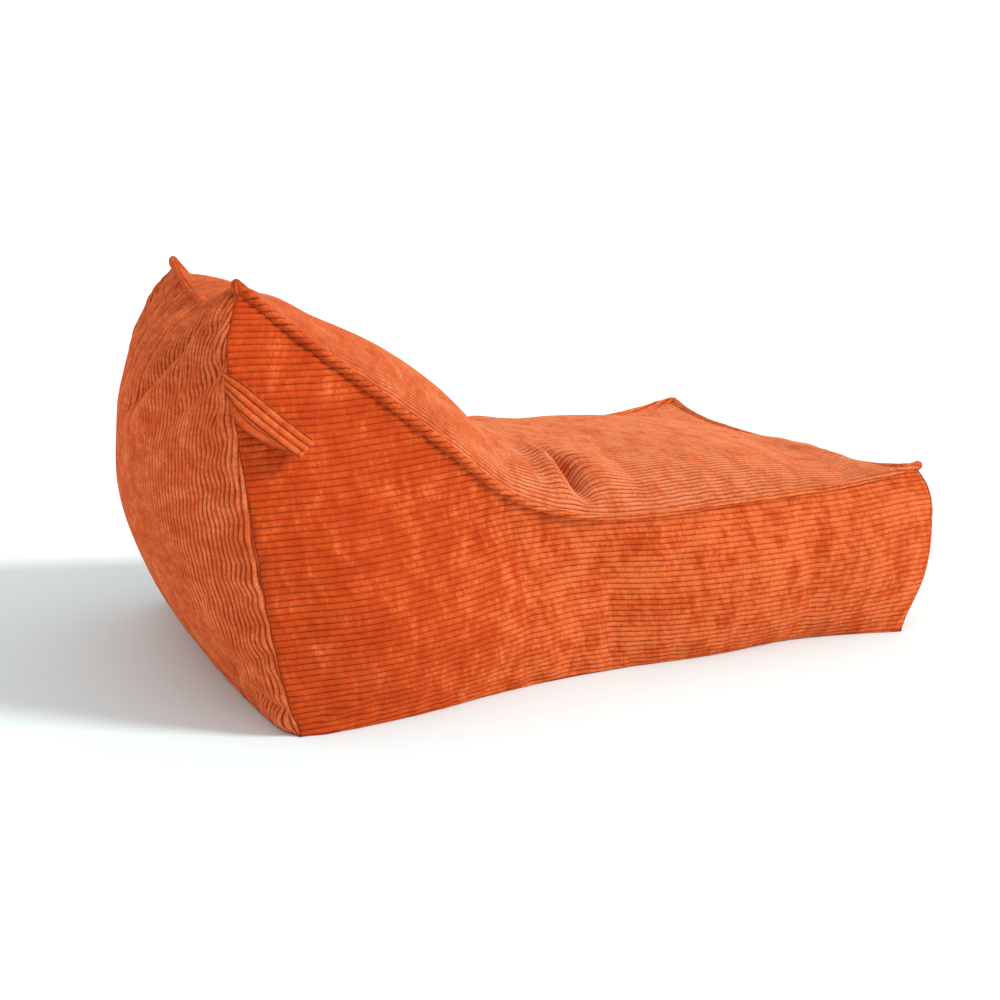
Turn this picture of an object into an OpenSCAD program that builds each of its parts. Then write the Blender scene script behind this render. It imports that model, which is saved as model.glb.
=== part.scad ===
// Bean bag lounger with a raised back, two pointed ears and a long low seat.
// Origin at the centre of the base, on the floor. +X is the sitter's left,
// +Y points to the back, +Z points up. Millimetres.

/* [Overall size] */
// Width over the side seams at the foot end
seat_width = 750; // [700:5:800]
// How far the left ear leans forward of the right one
left_ear_lean = 59; // [0:1:70]
// How much lower the left ear stands than the right one
left_ear_drop = 4; // [0:1:15]

/* [Fullness] */
// How full the side panels are
side_fullness = 1; // [0.5:0.05:1.3]
// How full the seat and backrest are
top_fullness = 1; // [0.7:0.05:1.1]
// How full the back panel is
back_fullness = 1; // [0.5:0.05:1.1]
// How far the foot panel puffs out
foot_bulge = 36; // [20:1:60]
// How far the head seam sags between the ears
head_sag = 45; // [20:1:80]
// How far the backrest swells just in front of the head seam
brow_rise = 33; // [0:1:40]
// How far the foot seam sags between its corners
foot_sag = 26; // [10:1:60]
// How far the foot seam leans toward the seat between its corners
foot_lean = 12; // [0:1:50]
// How far the rear edge of the base bows outward
base_rear_bow = 21; // [0:1:40]
// How far the front edge of the base bows outward
base_front_bow = 20; // [0:1:40]

/* [Cloth and fill] */
// Thickness of the corduroy cover
cloth = 2.5; // [1.5:0.1:4]
// Distance from the cover's face to the liner's face
liner_depth = 3.5; // [3.2:0.1:6]
// Height of the liner's face over the floor
liner_rise = 5.4; // [5.2:0.1:8]
// Thickness of the liner cloth
liner_cloth = 0.6; // [0.4:0.1:1]
// Distance from the cover's face to the bead fill
fill_depth = 5; // [4.4:0.1:9]
// Height of the bead fill over the floor
fill_rise = 9.4; // [9:0.1:12]
// Gap left open along every seam, on each panel
seam_gap = 0.3; // [0.2:0.05:0.6]

/* [Raised seams] */
// Height of a raised seam over the cloth
ridge_height = 9; // [6:0.5:12]
// Width of a raised seam
ridge_width = 7.5; // [5:0.5:10]

/* [Carry handle] */
// Width of the strap
strap_width = 31; // [25:1:50]
// Thickness of one layer of the strap
strap_thick = 5; // [3:0.5:7]
// Length of the folded loop
loop_length = 136; // [90:1:150]
// Open space between the two layers at mid length
loop_gap = 18; // [10:1:30]
// Place of the loop's root on the back seam, floor to ear
loop_root_k = 0.69; // [0.5:0.01:0.8]
// How much lower the inner layer sags than the outer one
loop_slip = 17; // [0:1:20]
// How steeply the loop droops below level
loop_droop = 43; // [0:1:60]
// How far the loop leans away from the side panel
loop_splay = 14; // [5:1:40]

/* [Base zip] */
// Distance of the cover's zip behind the centre of the base
zip_y = 330; // [200:5:420]
// Half width of the slot that the zip closes
zip_slot = 5; // [4.5:0.5:8]
// Width of each half of the zip tape
tape_width = 13; // [10:1:16]
// Radius of each half of the zip coil
coil_r = 0.9; // [0.7:0.1:1.2]
// Length of the zip slider
slider_length = 13; // [9:1:16]
// Width of the zip slider
slider_width = 8; // [6:0.5:9]
// Thickness of each plate of the slider
slider_plate = 0.6; // [0.5:0.05:1]
// Length of the pull tab
pull_length = 34; // [20:1:45]
// Width of the pull tab
pull_width = 5.6; // [4:0.1:6]
// Thickness of the pull tab
pull_thick = 0.8; // [0.6:0.1:1.2]

/* [Liner zip] */
// Distance of the liner's zip behind the centre of the base
liner_zip_y = 240; // [150:5:280]
// Length of the liner's zip
liner_zip_length = 420; // [300:10:600]

/* [Colours] */
// Cover cloth
cloth_colour = "#cf5a2b";
// Raised seams
ridge_colour = "#c65226";
// Handle strap
strap_colour = "#d4602f";
// Underside cloth
base_colour = "#a8431f";
// Zip tape
tape_colour = "#8e3a1d";
// Zip coil
coil_colour = "#6f2e18";
// Slider and pull tab
metal_colour = "#9a9691";
// Liner cloth
liner_colour = "#e9e6df";
// Expanded bead fill
bead_colour = "#f7f7f5";

/* [Hidden] */

// Steps along the length, up the sides and across the width
steps_t = 32;
steps_k = 8;
steps_q = 10;

half = seat_width / 2;

// Side seams of the cover: [inset from the side plane, y, z]
// from the ear along the backrest and the seat to the foot
top_line = [[66, 582, 622], [43, 490, 541], [32, 391, 464], [27, 295, 385],
            [24, 196, 307], [20, 79, 268], [17, -46, 258], [13, -171, 261],
            [10, -296, 265], [6, -421, 271], [0, -552, 291]];
// from the floor up the back to the ear
back_line = [[0, 543, 0], [0, 575, 156], [1, 595, 311], [7, 612, 467],
             [24, 613, 547], [66, 582, 622]];
// from the floor up the foot end
foot_line = [[0, -541, 0], [0, -590, 100], [0, -595, 200], [0, -584, 250],
             [0, -552, 291]];
// How far the base seam is tucked under, back to foot
tuck = [0, 13, 45, 55, 44, 49, 0];
// How far the seat and backrest are crowned, ear to foot
crown = [0, 57, 89, 100, 90, 81, 74, 69, 57, 33, 0];
// How far the back panel puffs out, floor to head
back_crown = [0, 46, 74, 89, 78, 45, 25, 13, 0];
// How far the side panels puff out, back to foot, at mid height and in
// the lower half
side_crown = [0, 16, 17, 18, 10, 7, 26, 36, 39, 35, 0];
side_low = [0, 18, 13, 6, 0, 0, 0];

// ---- curves -------------------------------------------------------------

// Smooth curve through the points of P
function curve(P, t) =
    let (n = len(P) - 1, u = min(max(t, 0), 1) * n, i = min(floor(u), n - 1),
         s = u - i, b = P[i], c = P[i + 1],
         a = i > 0 ? P[i - 1] : 2 * b - c,
         d = i < n - 1 ? P[i + 2] : 2 * c - b)
    0.5 * (2 * b + (c - a) * s + (2 * a - 5 * b + 4 * c - d) * s * s
           + (3 * b - a - 3 * c + d) * s * s * s);
function mix(a, b, w) = a * (1 - w) + b * w;
function unit(v) = v / norm(v);
// Unit vector that points into the body from point i of a side seam
function inward(P, i, s) =
    let (a = P[max(i - 1, 0)], b = P[min(i + 1, len(P) - 1)],
         t = unit([b[1] - a[1], b[2] - a[2]]))
    s * [-t[1], t[0]];
function corner(a, b) = (a + b) / (1 + a * b);

// A side seam moved inward by d, with its first and last moves given
function moved(P, s, d, first, last) =
    [for (i = [0:len(P) - 1])
        let (m = i == 0 ? first : i == len(P) - 1 ? last
                 : d * inward(P, i, s))
        [P[i][0] + d, P[i][1] + m[0], P[i][2] + m[1]]];
// One skin of the body, d inside the cover's face and r above the floor
function skin(d, r) =
    let (nb = inward(back_line, 0, 1), nf = inward(foot_line, 0, -1),
         rear = [(d - nb[1] * r) / nb[0], r],
         front = [(d - nf[1] * r) / nf[0], r],
         ear = d * corner(inward(top_line, 0, 1),
                          inward(back_line, len(back_line) - 1, 1)),
         toe = d * corner(inward(top_line, len(top_line) - 1, 1),
                          inward(foot_line, len(foot_line) - 1, -1)))
    [moved(top_line, 1, d, ear, toe), moved(back_line, 1, d, rear, ear),
     moved(foot_line, -1, d, front, toe), d, r];

// ---- the four seams on one side, and the four across ----------------------

function on_side(P, q) = [q * (half - P[0]), P[1], P[2]];
function lean(q, w) = q > 0 ? -w * [0, left_ear_lean, left_ear_drop]
                            : [0, 0, 0];
function top_seam(S, t, q) = on_side(curve(S[0], t), q)
                             + lean(q, pow(1 - t, 3));
function back_seam(S, k, q) = on_side(curve(S[1], k), q) + lean(q, pow(k, 2));
function foot_seam(S, k, q) = on_side(curve(S[2], k), q);
function base_seam(S, t, q) =
    [q * (half - curve(tuck, t) - S[3]), mix(S[1][0][1], S[2][0][1], t),
     S[4]];
function top_across(S, t, q) = mix(top_seam(S, t, -1), top_seam(S, t, 1),
                                   (q + 1) / 2);
function back_across(S, k, q) = mix(back_seam(S, k, -1), back_seam(S, k, 1),
                                    (q + 1) / 2);
function foot_across(S, k, q) = mix(foot_seam(S, k, -1), foot_seam(S, k, 1),
                                    (q + 1) / 2);
function bow(q) = 1 - pow(q, 4);
function head_dip(q) = [0, 0, -head_sag * (1 - pow(abs(q), 1.5))];
function foot_dip(q) = bow(q) * [0, foot_lean, -foot_sag];
function puff(q) = pow(max(1 - pow(abs(q), 2.4), 0), 0.8);
function back_puff(q) = max(1 - pow(abs(q), 2.15), 0) * (1 - 0.13 * q);
// A swelling that is highest at t = 0.045
function brow(t) = brow_rise * pow(t / 0.045 * exp(1 - t / 0.045), 2);
function arch(a, p) = pow(max(sin(180 * a), 0), p);

// ---- the six faces --------------------------------------------------------

// Seat and backrest: t from head to foot, q from right (-1) to left (1)
function top_face(S, t, q) =
    let (e = 0.001, a = top_seam(S, max(t - e, 0), -1),
         b = top_seam(S, min(t + e, 1), -1),
         n = unit([0, b[2] - a[2], a[1] - b[1]]))
    top_across(S, t, q) + head_dip(q) * pow(1 - t, 4.8)
    + foot_dip(q) * pow(t, 8)
    + n * (top_fullness * curve(crown, t) + brow(t)) * puff(q);
// Side: t from back to foot, k from floor to top
function side_face(S, t, k, q) =
    mix(base_seam(S, t, q), top_seam(S, t, q), k)
    + (back_seam(S, k, q) - mix(back_seam(S, 0, q), back_seam(S, 1, q), k))
      * pow(1 - t, 3)
    + (foot_seam(S, k, q) - mix(foot_seam(S, 0, q), foot_seam(S, 1, q), k))
      * pow(t, 6)
    + [q * side_fullness * (curve(side_crown, t) * arch(pow(k, 0.8), 0.8)
                            + curve(side_low, t) * sin(360 * pow(k, 0.9))),
       0, 0];
function back_face(S, k, q) =
    back_across(S, k, q) + head_dip(q) * pow(k, 4)
    + [0, base_rear_bow * bow(q) * pow(1 - k, 2)
          + back_fullness * curve(back_crown, k) * back_puff(q), 0];
function foot_face(S, k, q) =
    foot_across(S, k, q) + foot_dip(q) * pow(k, 5)
    - [0, base_front_bow * bow(q) * pow(1 - k, 2)
          + foot_bulge * arch(k, 0.9) * puff(q), 0];
// Underside: flat, and straight across at t = tz, where a zip runs
function base_face(S, t, q, tz) =
    base_seam(S, t, q)
    + [0, base_rear_bow * bow(q) * pow(max(1 - t / tz, 0), 2)
          - base_front_bow * bow(q) * pow(max((t - tz) / (1 - tz), 0), 6), 0];

// ---- grids and shells -----------------------------------------------------

// Steps from a to b, closer together near both ends
function eased(a, b, n) = [for (i = [0:n])
                               mix(a, b, (1 - cos(180 * i / n)) / 2)];
// Steps along the side seams, shared by every panel
ts = eased(0, 1, steps_t);
ks = eased(0, 1, steps_k);
qs = eased(-1, 1, steps_q);

// Pull the rim of a grid of points back from the seams around it
function eased_back(a, b) = a + seam_gap * unit(b - a);
function trimmed_rows(G) =
    let (n = len(G) - 1)
    [for (i = [0:n])
        [for (j = [0:len(G[0]) - 1])
            i == 0 ? eased_back(G[0][j], G[1][j])
            : i == n ? eased_back(G[n][j], G[n - 1][j]) : G[i][j]]];
function trimmed(G) =
    let (H = trimmed_rows(G), m = len(G[0]) - 1)
    [for (row = H)
        [for (j = [0:m])
            j == 0 ? eased_back(row[0], row[1])
            : j == m ? eased_back(row[m], row[m - 1]) : row[j]]];

// Two triangles for one cell of a grid
function cell(a, b, c, d) = [[a, c, b], [a, d, c]];
function flat(L) = [for (a = L) for (b = a) b];

// A closed shell between grid A (outside) and grid B (inside)
module shell(A, B) {
    n = len(A) - 1;
    m = len(A[0]) - 1;
    w = m + 1;
    all = (n + 1) * w;
    faces = concat(
        flat([for (i = [0:n - 1]) for (j = [0:m - 1])
            cell(i * w + j, i * w + j + 1, (i + 1) * w + j + 1,
                 (i + 1) * w + j)]),
        flat([for (i = [0:n - 1]) for (j = [0:m - 1])
            cell(all + i * w + j, all + (i + 1) * w + j,
                 all + (i + 1) * w + j + 1, all + i * w + j + 1)]),
        flat([for (i = [0:n - 1])
            concat(cell(i * w, (i + 1) * w, all + (i + 1) * w, all + i * w),
                   cell(i * w + m, all + i * w + m, all + (i + 1) * w + m,
                        (i + 1) * w + m))]),
        flat([for (j = [0:m - 1])
            concat(cell(j, all + j, all + j + 1, j + 1),
                   cell(n * w + j, n * w + j + 1, all + n * w + j + 1,
                        all + n * w + j))]));
    polyhedron(points = concat(flat(A), flat(B)), faces = faces,
               convexity = 6);
}

cover_out = skin(0, 0);
cover_in = skin(cloth, cloth);
liner_out = skin(liner_depth, liner_rise);
liner_in = skin(liner_depth + liner_cloth, liner_rise + liner_cloth);
fill_skin = skin(fill_depth, fill_rise);

function side_grid(S, q) = trimmed([for (t = ts) [for (k = q > 0 ? ks
    : eased(1, 0, steps_k)) side_face(S, t, k, q)]]);
function top_grid(S) = [for (t = ts) [for (q = qs) top_face(S, t, -q)]];
function back_grid(S) = [for (k = ks) [for (q = qs) back_face(S, k, -q)]];
function foot_grid(S) = [for (k = ks) [for (q = qs) foot_face(S, k, q)]];
function base_t(S, y) = (S[1][0][1] - y) / (S[1][0][1] - S[2][0][1]);
// Rows of the underside from t = a to t = b
function base_grid(S, a, b, tz) =
    [for (t = [for (s = ts) if (s > a + 0.002 && s < b - 0.002) s])
        [for (q = qs) base_face(S, t, q, tz)]];
function base_part(S, a, b, tz) =
    concat([[for (q = qs) base_face(S, a, q, tz)]], base_grid(S, a, b, tz),
           [[for (q = qs) base_face(S, b, q, tz)]]);

// ---- cover ----------------------------------------------------------------

module side_panel_right() {
    color(cloth_colour) shell(side_grid(cover_out, -1),
                              side_grid(cover_in, -1));
}
module side_panel_left() {
    color(cloth_colour) shell(side_grid(cover_out, 1), side_grid(cover_in, 1));
}
module seat_back_panel() {
    color(cloth_colour) shell(trimmed(top_grid(cover_out)),
                              trimmed(top_grid(cover_in)));
}
module back_panel() {
    color(cloth_colour) shell(trimmed(back_grid(cover_out)),
                              trimmed(back_grid(cover_in)));
}
module foot_panel() {
    color(cloth_colour) shell(trimmed(foot_grid(cover_out)),
                              trimmed(foot_grid(cover_in)));
}
// The zip's place along the base seam, and the two edges of its slot
zip_t = base_t(cover_out, zip_y);
module base_panel_front() {
    a = base_t(cover_out, zip_y - zip_slot);
    b = base_t(cover_in, zip_y - zip_slot);
    color(base_colour) shell(trimmed(base_part(cover_out, a, 1, zip_t)),
                             trimmed(base_part(cover_in, b, 1, zip_t)));
}
module base_panel_rear() {
    a = base_t(cover_out, zip_y + zip_slot);
    b = base_t(cover_in, zip_y + zip_slot);
    color(base_colour) shell(trimmed(base_part(cover_out, 0, a, zip_t)),
                             trimmed(base_part(cover_in, 0, b, zip_t)));
}

// ---- raised seams -----------------------------------------------------------

// Section of a raised seam: [across, out]
ridge_section = [for (p = [[-0.2, 0.18], [0.2, 0.18], [0.5, 0.4], [0.5, 0.7],
                           [0.25, 1], [-0.25, 1], [-0.5, 0.7], [-0.5, 0.4]])
                    [p[0] * ridge_width, p[1] * ridge_height]];
// A closed solid through rings of points
module loft(rings) {
    n = len(rings) - 1;
    w = len(rings[0]);
    faces = concat([[for (j = [0:w - 1]) w - 1 - j]],
                   flat([for (i = [0:n - 1]) for (j = [0:w - 1])
                       cell(i * w + j, (i + 1) * w + j,
                            (i + 1) * w + (j + 1) % w, i * w + (j + 1) % w)]),
                   [[for (j = [0:w - 1]) n * w + j]]);
    polyhedron(points = flat(rings), faces = faces, convexity = 6);
}
// Direction of a path of points at point i
function along(C, i) = unit(C[min(i + 1, len(C) - 1)] - C[max(i - 1, 0)]);
// The raised seam's section carried along C, standing out along U
module ridge(C, U) {
    loft([for (i = [0:len(C) - 1])
        let (t = along(C, i), v = unit(cross(t, U[i])), u = cross(v, t))
        [for (p = ridge_section) C[i] + v * p[0] + u * p[1]]]);
}
// Outward direction at a seam point P that runs along D, between panel
// points A and B
function outward(P, D, A, B) =
    let (n = unit(cross(D, unit(B - P) - unit(A - P))))
    n[2] > 0 ? n : -n;

// How far along each panel its slope at the seam is taken
near = 0.04;
// Where the raised seams stop short of the ears and toes
ridge_start = 0.014;
ridge_end = 0.992;
cross_end = 0.95;
module side_ridge(q) {
    T = eased(ridge_start, ridge_end, steps_t);
    C = [for (t = T) top_seam(cover_out, t, q)];
    U = [for (t = T) outward(top_seam(cover_out, t, q),
                             top_seam(cover_out, t + 0.002, q)
                             - top_seam(cover_out, t - 0.002, q),
                             side_face(cover_out, t, 1 - near, q),
                             top_face(cover_out, t, q * (1 - near)))];
    color(ridge_colour) ridge(C, U);
}
module seam_ridge_right() side_ridge(-1);
module seam_ridge_left() side_ridge(1);
module seam_ridge_head() {
    Q = eased(-cross_end, cross_end, 2 * steps_q);
    C = [for (q = Q) top_face(cover_out, 0, q)];
    U = [for (q = Q) outward(top_face(cover_out, 0, q), [1, 0, 0],
                             back_face(cover_out, 1 - near, q),
                             top_face(cover_out, near, q))];
    color(ridge_colour) ridge(C, U);
}
module seam_ridge_foot() {
    Q = eased(-cross_end, cross_end, 2 * steps_q);
    C = [for (q = Q) top_face(cover_out, 1, q)];
    U = [for (q = Q) outward(top_face(cover_out, 1, q), [1, 0, 0],
                             top_face(cover_out, 1 - near, q),
                             foot_face(cover_out, 1 - near, q))];
    color(ridge_colour) ridge(C, U);
}

// ---- carry handle -------------------------------------------------------------

// Root of the loop, just outside the right-hand back seam, and the seam there
loop_root = back_seam(cover_out, loop_root_k, -1) + [-8, 6, 0];
loop_seam = unit(back_seam(cover_out, loop_root_k - 0.06, -1)
                 - back_seam(cover_out, loop_root_k + 0.06, -1));
loop_along = [-sin(loop_splay), -cos(loop_splay) * cos(loop_droop),
              -cos(loop_splay) * sin(loop_droop)];
loop_out = unit([-cos(loop_splay), sin(loop_splay), 0]);
loop_down = cross(loop_along, loop_out);
// Distance of the outer layer's middle from the loop's own line, and how far
// the inner layer sags, at a fraction s of the loop's length
function outer_layer(s) = strap_thick / 2 + 0.3
    + loop_gap * pow(max(sin(180 * pow(s, 1.2)), 0), 0.8) + 2.6 * s * s;
function inner_layer(s) = -strap_thick / 2 - 0.3 - 2.6 * s * s;
function slip(s) = loop_slip * sin(180 * s);
// The strap's width follows the seam at the root and squares up beyond it
function loop_across(s) = let (w = min(s / 0.3, 1))
    unit(mix(loop_seam, loop_down, w * w * (3 - 2 * w)));
module carry_handle() {
    n = 16;
    turns = 8;
    fold = outer_layer(1);
    run = loop_length - fold;
    // [along, out, down, fraction of the length]
    out = [for (i = [0:n]) [i / n * run, outer_layer(i / n), 0, i / n]];
    turn = [for (i = [1:turns - 1]) [run + fold * sin(180 * i / turns),
                                     fold * cos(180 * i / turns), 0, 1]];
    back = [for (i = [n:-1:0]) [i / n * run, inner_layer(i / n),
                                slip(i / n), i / n]];
    path = concat(out, turn, back);
    last = len(path) - 1;
    w = strap_width / 2;
    h = strap_thick / 2;
    bevel = 1.2;
    section = [[-w + bevel, -h], [w - bevel, -h], [w, -h + bevel],
               [w, h - bevel], [w - bevel, h], [-w + bevel, h],
               [-w, h - bevel], [-w, -h + bevel]];
    color(strap_colour) loft([for (i = [0:last])
        let (a = path[max(i - 1, 0)], b = path[min(i + 1, last)], p = path[i],
             c = loop_root + loop_along * p[0] + loop_out * p[1]
                 + loop_down * p[2],
             u = unit(loop_along * (a[1] - b[1]) + loop_out * (b[0] - a[0])),
             v = loop_across(p[3]))
        [for (q = section) c + v * q[0] + u * q[1]]]);
}

// ---- base zip -------------------------------------------------------------------

tape_z = cloth + 0.5;
tape_thick = 0.6;
coil_z = tape_z + tape_thick / 2;
// Gap between the two halves of the coil, which the slider's post runs in
coil_gap = 1.5;
// Half length of the cover's zip, between the side seams
zip_half = half - curve(tuck, zip_t) - 16;
coil_off = coil_gap / 2 + coil_r;
module tape(s) {
    a = coil_off + coil_r + 0.1;
    color(tape_colour)
        translate([-zip_half, s > 0 ? zip_y + a : zip_y - a - tape_width,
                   tape_z])
            cube([2 * zip_half, tape_width, tape_thick]);
}
module zip_tape_front() tape(-1);
module zip_tape_rear() tape(1);
module coil(s) {
    color(coil_colour)
        translate([-zip_half, zip_y + s * coil_off, coil_z])
            rotate([0, 90, 0])
                cylinder(r = coil_r, h = 2 * zip_half, $fn = 12);
}
module zip_coil_front() coil(-1);
module zip_coil_rear() coil(1);
stop_length = 4;
module end_stop(s) {
    color(metal_colour)
        translate([s * (zip_half + 0.4 + stop_length / 2), zip_y, coil_z])
            cube([stop_length, 2 * (coil_off + coil_r), 2 * coil_r],
                 center = true);
}
module zip_end_stop_left() end_stop(1);
module zip_end_stop_right() end_stop(-1);

// The slider at rest, at the left end of the closed zip
slider_x = zip_half - slider_length / 2 - 1;
play = 0.35;
plate_low = coil_z - coil_r - play - slider_plate;
plate_high = coil_z + coil_r + play;
// A slider that clasps a coil from both sides and is joined by a thin post
module slider_body(z_low, z_high, long, wide) {
    post = coil_gap - 2 * play;
    for (z = [z_low, z_high])
        translate([-long / 2, -wide / 2, z])
            cube([long, wide, slider_plate]);
    translate([-long / 2, -post / 2, z_low])
        cube([long / 3, post, z_high + slider_plate - z_low]);
}
// Pin that holds the pull tab, across the underside of the slider
pin_r = 0.55;
pin_x = slider_x - slider_length / 2 - 1.6;
pin_z = pull_thick / 2 + 0.75;
module zip_slider() {
    color(metal_colour) {
        translate([slider_x, zip_y, 0])
            slider_body(plate_low, plate_high, slider_length, slider_width);
        // Two lugs in front of the lower plate carry the pin between them
        for (s = [-1, 1])
            translate([pin_x - 1, zip_y + s * (slider_width / 2 - 0.4) - 0.4,
                       pin_z - 0.7])
                cube([slider_x - slider_length / 2 + 1.6 - pin_x + 0.4, 0.8,
                      plate_low + slider_plate - pin_z + 0.7]);
        translate([pin_x, zip_y + slider_width / 2 - 0.4, pin_z])
            rotate([90, 0, 0])
                cylinder(r = pin_r, h = slider_width - 0.8, $fn = 24);
    }
}
module zip_pull() {
    eye = pin_r + 0.05;
    color(metal_colour) difference() {
        union() {
            translate([pin_x - pull_length, zip_y - pull_width / 2,
                       pin_z - pull_thick / 2])
                cube([pull_length - 1, pull_width, pull_thick]);
            translate([pin_x, zip_y + pull_width / 2, pin_z])
                rotate([90, 0, 0])
                    cylinder(r = 0.95, h = pull_width, $fn = 24);
            translate([pin_x - 1.6, zip_y - pull_width / 2,
                       pin_z - pull_thick / 2])
                cube([1.6, pull_width, pull_thick]);
        }
        translate([pin_x, zip_y + pull_width / 2 + 1, pin_z])
            rotate([90, 0, 0])
                cylinder(r = eye, h = pull_width + 2, $fn = 24);
    }
}

// ---- inner liner -------------------------------------------------------------

liner_zip_t = base_t(liner_out, liner_zip_y);
// Half width of the slot that the liner's zip closes
liner_slot = 3.5;
// The strip that runs from the zip under the foot, over the top, down the back
function liner_rows(S) =
    let (front = base_t(S, liner_zip_y - liner_slot),
         rear = base_t(S, liner_zip_y + liner_slot),
         tz = liner_zip_t,
         rows = concat(base_part(S, front, 1, tz),
                       [for (k = [for (i = [1:steps_k]) ks[i]])
                           [for (q = qs) foot_face(S, k, q)]],
                       [for (i = [1:steps_t]) [for (q = qs)
                           top_face(S, 1 - ts[i], q)]],
                       [for (i = [1:steps_k]) [for (q = qs)
                           back_face(S, 1 - ks[i], q)]],
                       [for (i = [1:len(base_part(S, 0, rear, tz)) - 1])
                           base_part(S, 0, rear, tz)[i]]))
    trimmed(rows);
module liner_wrap() {
    color(liner_colour) shell(liner_rows(liner_out), liner_rows(liner_in));
}
module liner_side_right() {
    color(liner_colour) shell(side_grid(liner_out, -1),
                              side_grid(liner_in, -1));
}
module liner_side_left() {
    color(liner_colour) shell(side_grid(liner_out, 1), side_grid(liner_in, 1));
}
liner_coil_r = 0.6;
liner_coil_z = liner_rise + liner_cloth + 1.4;
module liner_zip_tape() {
    inner = coil_gap / 2 + 2 * liner_coil_r + 0.1;
    color(liner_colour) for (s = [-1, 1])
        translate([-liner_zip_length / 2,
                   s > 0 ? liner_zip_y + inner
                         : liner_zip_y - inner - tape_width,
                   liner_coil_z - 0.25])
            cube([liner_zip_length, tape_width, 0.5]);
    // The two halves are one tape past the end of the coil
    color(liner_colour)
        translate([liner_zip_length / 2 - 0.1, liner_zip_y - inner
                   - tape_width, liner_coil_z - 0.25])
            cube([8, 2 * (inner + tape_width), 0.5]);
}
module liner_zip_coil() {
    color(liner_colour) {
        for (s = [-1, 1])
            translate([-liner_zip_length / 2 + 4,
                       liner_zip_y + s * (coil_gap / 2 + liner_coil_r),
                       liner_coil_z])
                rotate([0, 90, 0])
                    cylinder(r = liner_coil_r, h = liner_zip_length - 6,
                             $fn = 12);
        translate([-liner_zip_length / 2 + 1, liner_zip_y, liner_coil_z])
            cube([6, coil_gap + 3 * liner_coil_r, liner_coil_r],
                 center = true);
    }
}
liner_slider_length = 8;
liner_slider_x = liner_zip_length / 2 - 7;
module liner_zip_slider() {
    color(metal_colour)
        translate([liner_slider_x, liner_zip_y, 0])
            slider_body(liner_coil_z - liner_coil_r - play - slider_plate,
                        liner_coil_z + liner_coil_r + play,
                        liner_slider_length, 4.6);
}

// ---- bead fill -----------------------------------------------------------------

// Closed rings along the length, and a grid over each end
ring_size = 2 * (steps_q + steps_k);
function fill_ring(t) = let (S = fill_skin)
    concat([for (i = [0:steps_q - 1]) base_face(S, t, qs[i], zip_t)],
           [for (i = [0:steps_k - 1]) side_face(S, t, ks[i], 1)],
           [for (i = [0:steps_q - 1]) top_face(S, t, -qs[i])],
           [for (i = [0:steps_k - 1]) side_face(S, t, 1 - ks[i], -1)]);
// Place in a ring of row k and column q of an end grid, when it is on the rim
function on_ring(i, j) =
    i == 0 ? j
    : i == steps_k ? 2 * steps_q + steps_k - j
    : j == steps_q ? steps_q + i
    : (ring_size - i) % ring_size;
module bead_fill() {
    S = fill_skin;
    rings = flat([for (t = ts) fill_ring(t)]);
    start = len(rings);
    inner_k = steps_k - 1;
    inner_q = steps_q - 1;
    back = [for (i = [1:inner_k]) for (j = [1:inner_q])
               back_face(S, ks[i], qs[j])];
    foot = [for (i = [1:inner_k]) for (j = [1:inner_q])
               foot_face(S, ks[i], qs[j])];
    // Index of a point of an end grid: ring is its first ring index
    function at(i, j, ring, first) =
        i == 0 || i == steps_k || j == 0 || j == steps_q
        ? ring + on_ring(i, j) : first + (i - 1) * inner_q + j - 1;
    last_ring = steps_t * ring_size;
    faces = concat(
        flat([for (r = [0:steps_t - 1]) for (i = [0:ring_size - 1])
            let (a = r * ring_size, n = (i + 1) % ring_size)
            cell(a + i, a + n, a + ring_size + n, a + ring_size + i)]),
        flat([for (i = [0:steps_k - 1]) for (j = [0:steps_q - 1])
            cell(at(i + 1, j, 0, start), at(i + 1, j + 1, 0, start),
                 at(i, j + 1, 0, start), at(i, j, 0, start))]),
        flat([for (i = [0:steps_k - 1]) for (j = [0:steps_q - 1])
            let (f = start + len(back))
            cell(at(i, j, last_ring, f), at(i, j + 1, last_ring, f),
                 at(i + 1, j + 1, last_ring, f),
                 at(i + 1, j, last_ring, f))]));
    color(bead_colour)
        polyhedron(points = concat(rings, back, foot), faces = faces,
                   convexity = 6);
}

side_panel_right();
side_panel_left();
seat_back_panel();
back_panel();
foot_panel();
base_panel_front();
base_panel_rear();
seam_ridge_right();
seam_ridge_left();
seam_ridge_head();
seam_ridge_foot();
carry_handle();
zip_tape_front();
zip_tape_rear();
zip_coil_front();
zip_coil_rear();
zip_end_stop_left();
zip_end_stop_right();
zip_slider();
zip_pull();
liner_wrap();
liner_side_right();
liner_side_left();
liner_zip_tape();
liner_zip_coil();
liner_zip_slider();
bead_fill();
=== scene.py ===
"""Bean bag lounger in wide-wale corduroy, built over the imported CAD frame.

Lengths in the shape functions are millimetres, in the frame of part.scad:
+X the sitter's left, +Y the back, +Z up, origin at the centre of the base.
"""
import math

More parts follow.
